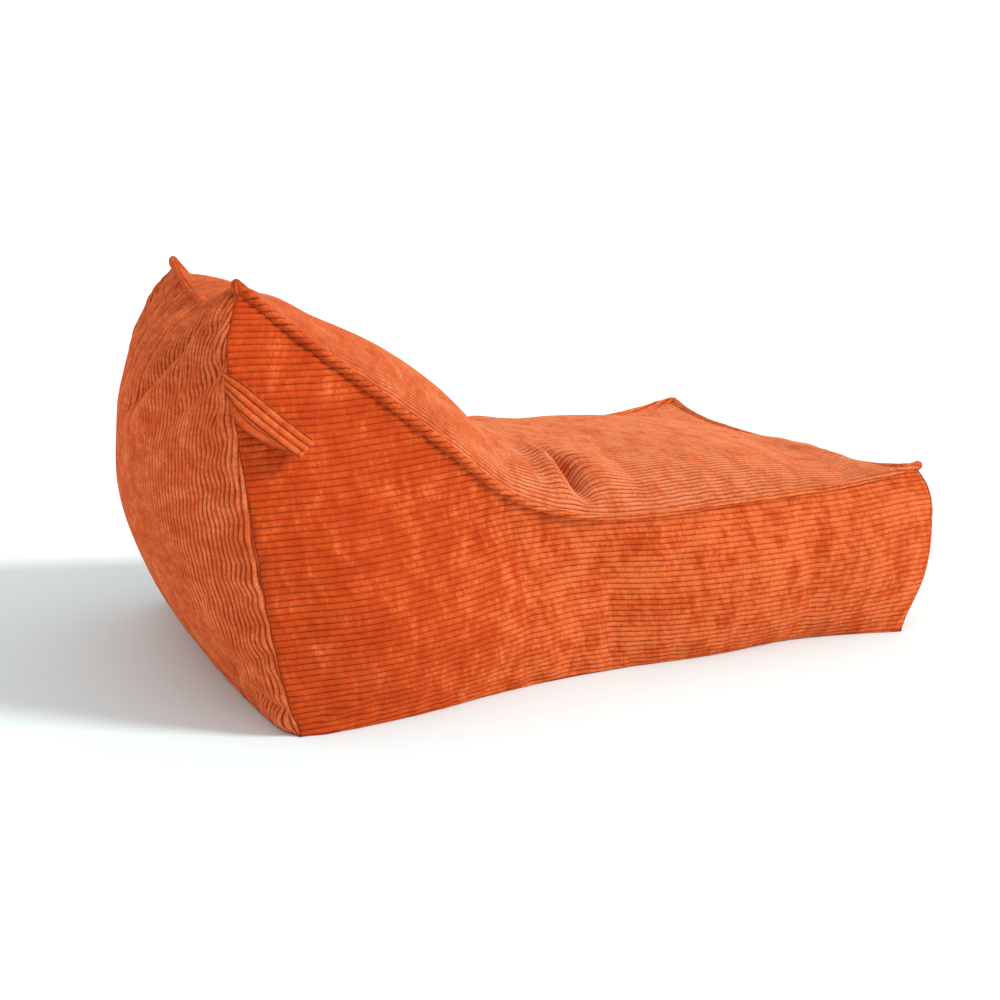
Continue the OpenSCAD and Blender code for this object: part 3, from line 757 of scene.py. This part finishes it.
def ridge(name, node, C, wrap, other, phase, lean=0.0, grow=1.0):
    """A raised seam along C; wrap and other are points of the two cloths.

    phase counts the wales of the cloth that wraps the seam, lean tips the
    section towards that cloth, and grow scales the section.
    """
    D = unit(np.gradient(C, axis=0))
    n = unit(np.cross(D, unit(other - C) - unit(wrap - C)))
    n = np.where(n[:, 2:] > 0, n, -n)
    v = unit(np.cross(D, n))
    v = np.where(((wrap - other) * v).sum(-1, keepdims=True) > 0, v, -v)
    s = run_length(C)
    slope = np.clip(np.gradient(phase, s) * PITCH, -1, 1)
    turn = np.sqrt(1 - slope ** 2)
    end = np.minimum(s, s[-1] - s)
    tip = np.sqrt(np.clip(1 - (1 - np.clip(end / 2, 0, 1)) ** 2, 0.02, 1))
    section = RIDGE[:, :2]
    around = run_length(section)
    out_of = unit(section - section.mean(0))
    middle = np.array([0.8, 3.0])
    swell = (1 + 0.06 * noise(C, 30, 81)) * grow
    lean = np.broadcast_to(lean, len(C))
    rings, phases = [], []
    for j, (p, w) in enumerate(zip(section, RIDGE[:, 2])):
        ph = phase + around[j] * turn / PITCH
        lift = RIDGE_RELIEF * w * (wale(ph, 2.8) - MIDDLE)
        m = middle + (p - middle) * (tip * swell)[:, None] \
            + out_of[j] * lift[:, None]
        m = np.stack([m[:, 0] * np.cos(lean) + m[:, 1] * np.sin(lean),
                      m[:, 1] * np.cos(lean) - m[:, 0] * np.sin(lean)], 1)
        rings.append(C + v * m[:, :1] + n * m[:, 1:])
        phases.append(ph)
    V = np.stack(rings, 1)
    uv = np.stack([np.stack(phases, 1), np.repeat(s[:, None] / PITCH,
                                                  len(section), 1)], -1)
    J = ring_numbers(len(C), len(section))
    facing = np.cross(V[1, 5] - V[0, 5], V[0, 6] - V[0, 5]) @ n[0]
    faces = grid_faces(J, facing < 0)
    caps = np.stack([J[0, :-1], J[-1, :-1][::-1]])
    faces.append(caps[:, ::-1] if facing < 0 else caps)
    obj = make_piece(name, V.reshape(-1, 3), faces, uv.reshape(-1, 2))
    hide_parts(node)
    return obj


ridges = []
n_ridge = 700
t = np.linspace(0, 1, n_ridge)
for label, q in SIDES:
    ridges.append(ridge(
        f"seam_{label}", f"seam_ridge_{label}", top_edge(t, q),
        side(q)(t, 0.96), top(t, q * 0.96), np.interp(t, *side_phase[q]),
        grow=0.82 + 0.28 * smooth((0.48 - t) / 0.14)
        + 0.2 * smooth((t - 0.9) / 0.08)))
# The head seam lies over towards the front, except near the left ear
q = np.linspace(-1, 1, n_ridge)
for label, t, panel_at, lean, grow in (
        ("head", 0.0, back, -1.5 * smooth((0.3 - q) / 0.35), 1.15),
        ("foot", 1.0, foot, 0.85, 0.9)):
    C = top(t, q)
    s = run_length(C)
    ridges.append(ridge(
        f"seam_{label}", f"seam_ridge_{label}", C, panel_at(0.96, q),
        top(abs(t - 0.04), q), (s - s[len(s) // 2]) / PITCH, lean, grow))

# ---- corner knobs and seam threads ----


def knob(name, at, radii, axis):
    """Where three seams end: cloth bunched into a small rounded tip."""
    rings, sides = 25, 48
    a, b = np.meshgrid(np.linspace(0, np.pi, rings), np.linspace(
        0, 2 * np.pi, sides + 1)[:-1], indexing="ij")
    V = vec(np.sin(a) * np.cos(b), np.sin(a) * np.sin(b), np.cos(a))
    around = b / (2 * np.pi) * 8
    V = V * (1 + 0.16 * np.sin(a) * (wale(around) - 0.6))[..., None]
    up = unit(np.asarray(axis, float))
    side_on = unit(np.cross(up, (0.0, 1.0, 0.2)))
    axes = np.stack([side_on, np.cross(up, side_on), up])
    V = (V * np.asarray(radii, float)) @ axes + at
    uv = np.stack([around, a * 2], -1).reshape(-1, 2)
    obj = make_piece(name, V.reshape(-1, 3),
                     grid_faces(ring_numbers(rings, sides), False), uv)
    return obj


def tube(name, C, r, sides=10):
    """A round thread of radius r along the points C."""
    D = unit(np.gradient(C, axis=0))
    n = unit(np.cross(D, (0.3, 0.5, 0.8)))
    m = np.cross(D, n)
    a = np.linspace(0, 2 * np.pi, sides + 1)[:-1, None, None]
    V = np.swapaxes(C + r * (np.cos(a) * n + np.sin(a) * m), 0, 1)
    V[..., 2] = np.maximum(V[..., 2], FLOOR_GAP)
    J = ring_numbers(len(C), sides)
    faces = grid_faces(J, False)
    faces.append(np.stack([J[0, :-1][::-1], J[-1, :-1]]))
    # All on the crest of a wale, with one step of v for each ring
    uv = np.stack([np.full(len(C) * sides, 0.5),
                   np.repeat(np.arange(float(len(C))), sides)], -1)
    obj = make_piece(name, V.reshape(-1, 3), faces, uv)
    return obj


SEAM_THREAD, BASE_THREAD, BASE_THREAD_Z = 1.2, 1.5, 1.9
knobs, threads = [], []
for label, q in SIDES:
    for end, t, size, axis in (
            ("ear", 0.0, (8, 8, 12), (0.1 * q, 0.2, 1)),
            ("toe", 1.0, (7.5, 7.5, 7.5), (0.4 * q, -0.3, 1))):
        at = top_edge(np.array(t), q) + unit(np.asarray(axis, float))
        knobs.append(knob(f"{end}_{label}", at, size, axis))
    s = np.linspace(0, 1, 160)
    for end, F, y in (("back", back, 1.2), ("foot", foot, -1.2)):
        threads.append(tube(f"thread_{end}_{label}",
                            F(s, q) - [1.2 * q, y, 0], SEAM_THREAD))
    threads.append(tube(f"thread_base_{label}", under_base(s, q)
                        + [0, 0, BASE_THREAD_Z], BASE_THREAD))
q = np.linspace(-1, 1, 100)
for end, t in (("back", 0.0), ("foot", 1.0)):
    threads.append(tube(f"thread_base_{end}", under_base(t, q)
                        + [0, 0, BASE_THREAD_Z], BASE_THREAD))

# ---- carry handle ----

SPLAY, DROOP = math.radians(14), math.radians(43)
LOOP, STRAP_W, STRAP_H = 136, 31, 5
LOOP_GAP, LOOP_SLIP = 18, 17    # how far its two layers part, and slip
STRAP_EDGE = 1.2                # half-round edges
STRAP_PITCH = 9.7


def back_seam(k, q):
    return across(curve(BACK, np.asarray(k, float)), q, np.asarray(k) ** 2)


root = back_seam(0.69, -1.0) + [-8, 6, 0]
seam_dir = unit(back_seam(0.63, -1.0) - back_seam(0.75, -1.0))
along = np.array([-math.sin(SPLAY), -math.cos(SPLAY) * math.cos(DROOP),
                  -math.cos(SPLAY) * math.sin(DROOP)])
out = unit(np.array([-math.cos(SPLAY), math.sin(SPLAY), 0]))
down = np.cross(along, out)


# The layers' distances from the loop's middle, from its root to its end
def outer_layer(s):
    return STRAP_H / 2 + 0.3 + LOOP_GAP * arch(s ** 1.2, 0.8) + 2.6 * s * s


def inner_layer(s):
    return -STRAP_H / 2 - 0.3 - 2.6 * s * s


def strap():
    """A strap with three wales, folded back on itself into a loop."""
    s = np.linspace(0, 1, 90)
    fold = float(outer_layer(np.array(1.0)))
    run = LOOP - fold
    turn = np.linspace(0, np.pi, 22)[1:-1]
    path = np.concatenate([
        np.stack([s * run, outer_layer(s), 0 * s, s], 1),
        np.stack([run + fold * np.sin(turn), fold * np.cos(turn), 0 * turn,
                  1 + 0 * turn], 1),
        np.stack([s * run, inner_layer(s), LOOP_SLIP * np.sin(np.pi * s),
                  s], 1)[::-1]])
    C = root + path[:, :1] * along + path[:, 1:2] * out + path[:, 2:3] * down
    d = np.gradient(path[:, :2], axis=0)
    u = unit(along * (-d[:, 1:2]) + out * d[:, :1])
    w = smooth(path[:, 3:4] / 0.3)
    v = unit(seam_dir * (1 - w) + down * w)
    length = run_length(C)
    # Wales across the strap's face, 3 whole ones between the turned edges
    flat = STRAP_W / 2 - STRAP_EDGE
    face = np.linspace(-flat, flat, 37)
    phase = face / STRAP_PITCH + 0.5
    rise = STRAP_H / 2 + 3.0 * (wale(phase, 2) - 0.75)
    edge = np.linspace(0, np.pi, 8)[1:-1]
    section = np.concatenate([
        np.stack([face, rise], 1),
        np.stack([flat + 1.4 * np.sin(edge), STRAP_H / 2 * np.cos(edge)], 1),
        np.stack([face[::-1], -STRAP_H / 2 + 0 * face], 1),
        np.stack([-flat - 1.4 * np.sin(edge),
                  -STRAP_H / 2 * np.cos(edge)], 1)])
    u_of = np.concatenate([phase, np.full(len(edge), phase[-1] + 0.1),
                           phase[::-1], np.full(len(edge), phase[0] - 0.1)])
    V = (C[:, None] + v[:, None] * section[None, :, :1]
         + u[:, None] * section[None, :, 1:])
    V = V + unit(V - C[:, None]) * (0.35 * noise(V, 12, 91))[..., None]
    uv = np.stack(np.broadcast_arrays(u_of[None], length[:, None] / PITCH),
                  -1)
    J = ring_numbers(len(C), len(section))
    ends = np.stack([J[0, :-1], J[-1, :-1][::-1]])
    obj = make_piece("carry_strap", V.reshape(-1, 3),
                     grid_faces(J, False) + [ends], uv.reshape(-1, 2),
                     "handle")
    face_outwards(obj.data)
    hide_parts("carry_handle")
    return obj


strap_piece = strap()

# ---- liner and fill ----


LINER_DEPTHS = (7.0, 7.6)       # its two faces, in from the cover
LINER_SLOT_FRONT, LINER_SLOT_REAR = 236.5, 243.5
FILL_DEPTH = 12


def liner_strip():
    """Points of the strip that runs right round from zip to zip."""
    q = np.linspace(-1, 1, 61)
    rows = []
    for F, start, end, n in (
            (under_base, under_t(LINER_SLOT_FRONT), 1, 40), (foot, 0, 1, 20),
            (top, 1, 0, 80), (back, 1, 0, 50),
            (under_base, 0, under_t(LINER_SLOT_REAR), 16)):
        # A seam's row belongs to the panel before it
        at = np.linspace(start, end, n)[1 if rows else 0:]
        rows += [F(np.full(len(q), a), q) for a in at]
    return np.stack(rows)


def drawn_in(P):
    """Inner parts keep a little further in towards the liner's zip."""
    hold = np.array([0, 240, 0])
    return hold + (P - hold) * 0.975


def liner_part(name, node, P):
    n = unit(np.cross(np.gradient(P, axis=0), np.gradient(P, axis=1)))
    middle = np.array([0.0, 0.0, 150.0])
    if ((P - middle) * n).sum() < 0:
        n = -n
    V = np.concatenate([drawn_in(P - n * d).reshape(-1, 3)
                        for d in LINER_DEPTHS])
    V[:, 2] = np.maximum(V[:, 2], LINER_DEPTHS[0])
    obj = make_piece(name, V, shell_faces(P.shape[:2]), V[:, :2] / PITCH)
    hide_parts(node)
    return obj


liner_pieces = [liner_part("liner_strip", "liner_wrap", liner_strip())]
t, k = np.meshgrid(np.linspace(0, 1, 70), np.linspace(0, 1, 40),
                   indexing="ij")
for label, q in SIDES:
    liner_pieces.append(liner_part(f"liner_{label}", f"liner_side_{label}",
                                   side(q)(t, k)))


def bead_fill_piece():
    """The beads take the cover's shape, dents and all, inside the liner."""
    V, numbers = weld(body_grids(
        {"top": top, "back": back, "foot": foot, "right": side(-1.0),
         "left": side(1.0), "under": under_base}, 73, 31, 41), 4.0)
    faces = np.concatenate([f for J in numbers.values()
                            for f in grid_faces(J, False)[:1]])
    bm = bmesh.new()
    verts = [bm.verts.new(v) for v in V]
    for face in faces:
        if len(set(face)) == 4:
            bm.faces.new([verts[i] for i in face])
    bmesh.ops.recalc_face_normals(bm, faces=bm.faces)
    bm.normal_update()
    for v in bm.verts:
        v.co = drawn_in(np.array(v.co - v.normal * FILL_DEPTH))
        v.co.z = max(v.co.z, FILL_DEPTH)
    bmesh.ops.scale(bm, vec=(MM, MM, MM), verts=bm.verts)
    mesh = bpy.data.meshes.new("bead_mass")
    bm.to_mesh(mesh)
    bm.free()
    mesh.polygons.foreach_set("use_smooth", [True] * len(mesh.polygons))
    obj = bpy.data.objects.new("bead_mass", mesh)
    scene.collection.objects.link(obj)
    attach(obj, "chair")
    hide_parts("bead_fill")
    return obj


bead_piece = bead_fill_piece()

# ---- materials ----


class Nodes:
    """Small helper that adds and joins shader nodes."""

    def __init__(self, name):
        self.mat = bpy.data.materials.new(name)
        self.mat.use_nodes = True
        self.tree = self.mat.node_tree
        self.tree.nodes.clear()
        self.shader = self.add("ShaderNodeBsdfPrincipled")
        end = self.add("ShaderNodeOutputMaterial")
        self.join(self.shader.outputs[0], end.inputs["Surface"])

    def add(self, kind, **settings):
        node = self.tree.nodes.new(kind)
        for key, value in settings.items():
            setattr(node, key, value)
        return node

    def join(self, a, b):
        """Link socket a to b, or set b to the plain value a."""
        if isinstance(a, bpy.types.NodeSocket):
            self.tree.links.new(a, b)
        else:
            b.default_value = a

    def math(self, operation, *values):
        node = self.add("ShaderNodeMath", operation=operation)
        for value, socket in zip(values, node.inputs):
            self.join(value, socket)
        return node.outputs[0]

    def noise(self, scale, detail=2.0, vector=None, rough=0.5):
        node = self.add("ShaderNodeTexNoise")
        node.inputs["Scale"].default_value = scale
        node.inputs["Detail"].default_value = detail
        node.inputs["Roughness"].default_value = rough
        self.join(vector if vector is not None else self.place(),
                  node.inputs["Vector"])
        return node.outputs["Fac"]

    def place(self):
        return self.add("ShaderNodeTexCoord").outputs["Object"]

    def scaled(self, vector, by):
        node = self.add("ShaderNodeMapping")
        node.inputs["Scale"].default_value = by
        self.join(vector, node.inputs["Vector"])
        return node.outputs[0]

    def span(self, value, lo, hi, to_lo=0.0, to_hi=1.0):
        node = self.add("ShaderNodeMapRange", interpolation_type="SMOOTHSTEP")
        for key, v in (("From Min", lo), ("From Max", hi), ("To Min", to_lo),
                       ("To Max", to_hi)):
            node.inputs[key].default_value = v
        self.join(value, node.inputs["Value"])
        return node.outputs["Result"]

    def mix(self, amount, a, b):
        node = self.add("ShaderNodeMix", data_type="RGBA")
        self.join(amount, node.inputs["Factor"])
        sockets = [s for s in node.inputs if s.type == "RGBA"]
        for value, socket in zip((a, b), sockets):
            if isinstance(value, tuple):
                socket.default_value = (*value, 1)
            else:
                self.join(value, socket)
        return [s for s in node.outputs if s.type == "RGBA"][0]

    def set(self, **values):
        for key, value in values.items():
            socket = self.shader.inputs[key.replace("_", " ")]
            if isinstance(value, (int, float, tuple)):
                socket.default_value = value
            else:
                self.join(value, socket)

    def bump(self, height, distance, strength=1.0):
        node = self.add("ShaderNodeBump")
        node.inputs["Strength"].default_value = strength
        node.inputs["Distance"].default_value = distance
        self.join(height, node.inputs["Height"])
        self.join(node.outputs[0], self.shader.inputs["Normal"])


def corduroy(name, deep, mid, pale, dark, width, painted_aft_shade=-0.06):
    """Cord whose u counts wales, in three tones of nap.

    dark and width set how dark and wide the grooves are, partly the base weave
    and partly painted shade, and the last argument shifts the tone at the back
    of the body, where it is painted darker as shade away from the lamp.
    """
    m = Nodes(name)
    uv = m.add("ShaderNodeUVMap", uv_map="cloth").outputs[0]
    split = m.add("ShaderNodeSeparateXYZ")
    m.join(uv, split.inputs[0])
    u = split.outputs[0]
    off = m.math("ABSOLUTE", m.math("SUBTRACT", m.math("FRACT", u), 0.5))
    groove = m.span(off, width, 0.5)
    # Brushed patches of nap, and finer ones along each wale
    patches = m.noise(1.0, 3.0, m.scaled(uv, (0.16, 0.22, 1.0)), 0.6)
    brushed = m.noise(1.0, 3.0, m.scaled(uv, (0.4, 0.85, 1.0)), 0.65)
    flecks = m.noise(1.0, 3.0, m.scaled(uv, (5.0, 3.2, 1.0)), 0.7)
    nap_and_painted_light = m.math("ADD", m.math("MULTIPLY", patches, 0.55),
                 m.math("MULTIPLY", brushed, 0.45))
    # Painted light: the tone is paler towards the foot, where the lamp's light
    # falls, and painted darker towards the back of the body
    along = m.add("ShaderNodeSeparateXYZ")
    m.join(m.place(), along.inputs[0])
    nap_and_painted_light = m.math("ADD", nap_and_painted_light, m.span(along.outputs[1], 0.05, 0.45, 0.08, painted_aft_shade))
    colour = m.mix(m.span(nap_and_painted_light, 0.46, 0.68), mid, pale)
    colour = m.mix(m.span(nap_and_painted_light, 0.32, 0.50, 0.75, 0.0), colour, deep)
    colour = m.mix(m.span(flecks, 0.46, 0.72, 0.0, 0.8), colour, deep)
    # Painted highlight: paler, less saturated colour along the wales' crests,
    # more where the tone is pale
    crest_highlight = m.math("MULTIPLY", m.span(off, 0.04, 0.38, 0.5, 0.0),
                  m.math("MULTIPLY", m.span(flecks, 0.62, 0.42),
                         m.span(nap_and_painted_light, 0.44, 0.66, 0.1, 1.0)))
    colour = m.mix(crest_highlight, colour, (1.06 * pale[0], 1.3 * pale[1],
                                  1.5 * pale[2]))
    # The grooves are darker, partly the base weave between the wales and
    # partly painted shade in the recess, and more so in some places than in
    # others
    groove_strength = m.noise(1.0, 3.0, m.scaled(uv, (0.8, 0.3, 1.0)), 0.6)
    groove = m.math("MULTIPLY", groove, m.span(groove_strength, 0.3, 0.65, 0.45 * dark,
                                               dark))
    colour = m.mix(groove, colour, tuple(0.4 * v for v in deep))
    m.set(Base_Color=colour, Roughness=0.9, Sheen_Weight=0.1,
          Sheen_Roughness=0.5, Sheen_Tint=(1.0, 0.6, 0.3, 1.0),
          Specular_IOR_Level=0.12)
    m.bump(flecks, 0.0028)
    return m.mat


def woven(name, warp, weft, scale=1400, rough=0.85, sheen=0.2):
    """A plain weave in two tones; a larger scale makes it finer."""
    m = Nodes(name)
    place = m.place()
    split = m.add("ShaderNodeSeparateXYZ")
    m.join(place, split.inputs[0])
    x = m.math("SINE", m.math("MULTIPLY", split.outputs[0], scale))
    y = m.math("SINE", m.math("MULTIPLY", split.outputs[1], scale))
    weave = m.math("MULTIPLY", x, y)
    tone = m.math("ADD", m.math("MULTIPLY", weave, 0.25), m.noise(40, 3.0))
    m.set(Base_Color=m.mix(m.span(tone, 0.2, 0.8), warp, weft),
          Roughness=rough, Sheen_Weight=sheen, Specular_IOR_Level=0.15)
    m.bump(weave, 0.0003, 0.6)
    return m.mat


def metal(name, colour):
    m = Nodes(name)
    m.set(Base_Color=m.mix(m.noise(90, 3.0), colour,
                           tuple(0.8 * v for v in colour)),
          Metallic=1.0, Roughness=m.span(m.noise(300, 2.0), 0.3, 0.7, 0.25,
                                         0.45))
    m.bump(m.noise(900, 2.0), 0.0001, 0.3)
    return m.mat


# Each panel's tones [deep, mid, pale] are one cloth set paler or darker for
# how the light falls on it: painted sheen on the top strip, painted lighter
# tones on the back
SIDE_NAP = ((0.46, 0.036, 0.002), (0.62, 0.070, 0.006), (0.84, 0.170, 0.042))
TOP_TONES_PAINTED_SHEEN = ((0.52, 0.070, 0.015), (0.70, 0.140, 0.038), (0.84, 0.240, 0.095))
BACK_TONES_PAINTED_LIGHT = ((0.52, 0.058, 0.008), (0.76, 0.120, 0.028), (0.92, 0.210, 0.066))
EDGE_NAP = ((0.50, 0.048, 0.005), (0.70, 0.102, 0.018), (0.86, 0.200, 0.055))
STRAP_NAP = ((0.54, 0.062, 0.010), (0.78, 0.130, 0.028), (0.90, 0.230, 0.070))
corduroy_mat = corduroy("corduroy", *SIDE_NAP, dark=0.7, width=0.34)
top_mat = corduroy("corduroy_top", *TOP_TONES_PAINTED_SHEEN, dark=0.9, width=0.24)
back_mat = corduroy("corduroy_back", *BACK_TONES_PAINTED_LIGHT, dark=1.0, width=0.22,
                    painted_aft_shade=0.02)
edge_mat = corduroy("corduroy_edge", *EDGE_NAP, dark=0.9, width=0.28)
strap_mat = corduroy("corduroy_strap", *STRAP_NAP, dark=0.9, width=0.28)
thread_mat = woven("seam_thread", (0.24, 0.020, 0.002), (0.34, 0.032, 0.003),
                   sheen=0.0)
under_mat = woven("base_cloth", (0.20, 0.035, 0.010), (0.36, 0.065, 0.018))
liner_mat = woven("liner_cloth", (0.72, 0.69, 0.62), (0.85, 0.83, 0.78))
tape_mat = woven("zip_tape", (0.22, 0.040, 0.012), (0.30, 0.055, 0.016), 3000)
coil_mat = woven("zip_coil", (0.10, 0.018, 0.006), (0.20, 0.036, 0.012), 2200,
                 0.4)
liner_zip_mat = woven("liner_zip", (0.70, 0.68, 0.62), (0.85, 0.83, 0.78),
                      2600, 0.5)
metal_mat = metal("zip_metal", (0.58, 0.56, 0.53))
bead_mat = woven("beads", (0.82, 0.82, 0.80), (0.92, 0.92, 0.90), 900, 0.7)

for pieces, mat in (
        (side_pieces + [foot_piece], corduroy_mat), ([top_piece], top_mat),
        ([back_piece], back_mat), (ridges + knobs, edge_mat),
        (threads, thread_mat), ([strap_piece], strap_mat),
        (under_pieces, under_mat), (liner_pieces, liner_mat),
        ([bead_piece], bead_mat)):
    for obj in pieces:
        obj.data.materials.append(mat)

NODE_MATERIALS = {
    "zip_tape_front": tape_mat, "zip_tape_rear": tape_mat,
    "zip_coil_front": coil_mat, "zip_coil_rear": coil_mat,
    "zip_end_stop_left": metal_mat, "zip_end_stop_right": metal_mat,
    "zip_slider": metal_mat, "zip_pull": metal_mat,
    "liner_zip_tape": liner_zip_mat, "liner_zip_coil": liner_zip_mat,
    "liner_zip_slider": metal_mat}
for name, mat in NODE_MATERIALS.items():
    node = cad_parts[name]
    for slot in node.material_slots:
        slot.material = mat
    if not node.material_slots:
        node.data.materials.append(mat)

# ---- floor and light ----

FLOOR_HALF = 50     # metres
SUN_HIGH, SUN_TURN, SUN_WIDE = 35, -42, 13      # degrees

floor_mesh = bpy.data.meshes.new("floor")
floor_mesh.from_pydata(
    [(x * FLOOR_HALF, y * FLOOR_HALF, 0)
     for x, y in ((-1, -1), (1, -1), (1, 1), (-1, 1))], [], [(0, 1, 2, 3)])
floor = bpy.data.objects.new("floor", floor_mesh)
scene.collection.objects.link(floor)
m = Nodes("floor")
# Painted cooler close to the chair, to cancel the orange light that the chair
# throws on to the floor
near = m.add("ShaderNodeVectorMath", operation="LENGTH")
m.join(m.scaled(m.place(), (1.0, 0.62, 1.0)), near.inputs[0])
pale = m.mix(m.noise(3.0), (0.955, 0.96, 0.96), (0.96, 0.965, 0.965))
m.set(Base_Color=m.mix(m.span(near.outputs["Value"], 0.4, 1.2),
                       (0.81, 0.957, 0.965), pale), Roughness=0.9)
floor_mesh.materials.append(m.mat)

world = bpy.data.worlds.new("studio")
scene.world = world
world.use_nodes = True
tree = world.node_tree
sky = tree.nodes["Background"]
sky.inputs[0].default_value = (1, 1, 1, 1)
# White walls all round, and a softer ceiling
height = tree.nodes.new("ShaderNodeSeparateXYZ")
fall = tree.nodes.new("ShaderNodeMapRange")
for key, v in (("From Min", 0.13), ("From Max", 0.4), ("To Min", 1.02),
               ("To Max", 0.78)):
    fall.inputs[key].default_value = v
tree.links.new(tree.nodes.new("ShaderNodeTexCoord").outputs["Generated"],
               height.inputs[0])
tree.links.new(height.outputs[2], fall.inputs["Value"])
tree.links.new(fall.outputs["Result"], sky.inputs[1])

lamp = bpy.data.lights.new("key", "SUN")
lamp.energy = 2.6
lamp.angle = math.radians(SUN_WIDE)
key = bpy.data.objects.new("key", lamp)
scene.collection.objects.link(key)
key.rotation_euler = (math.radians(90 - SUN_HIGH), 0,
                      math.radians(SUN_TURN))
scene.view_settings.view_transform = "Standard"
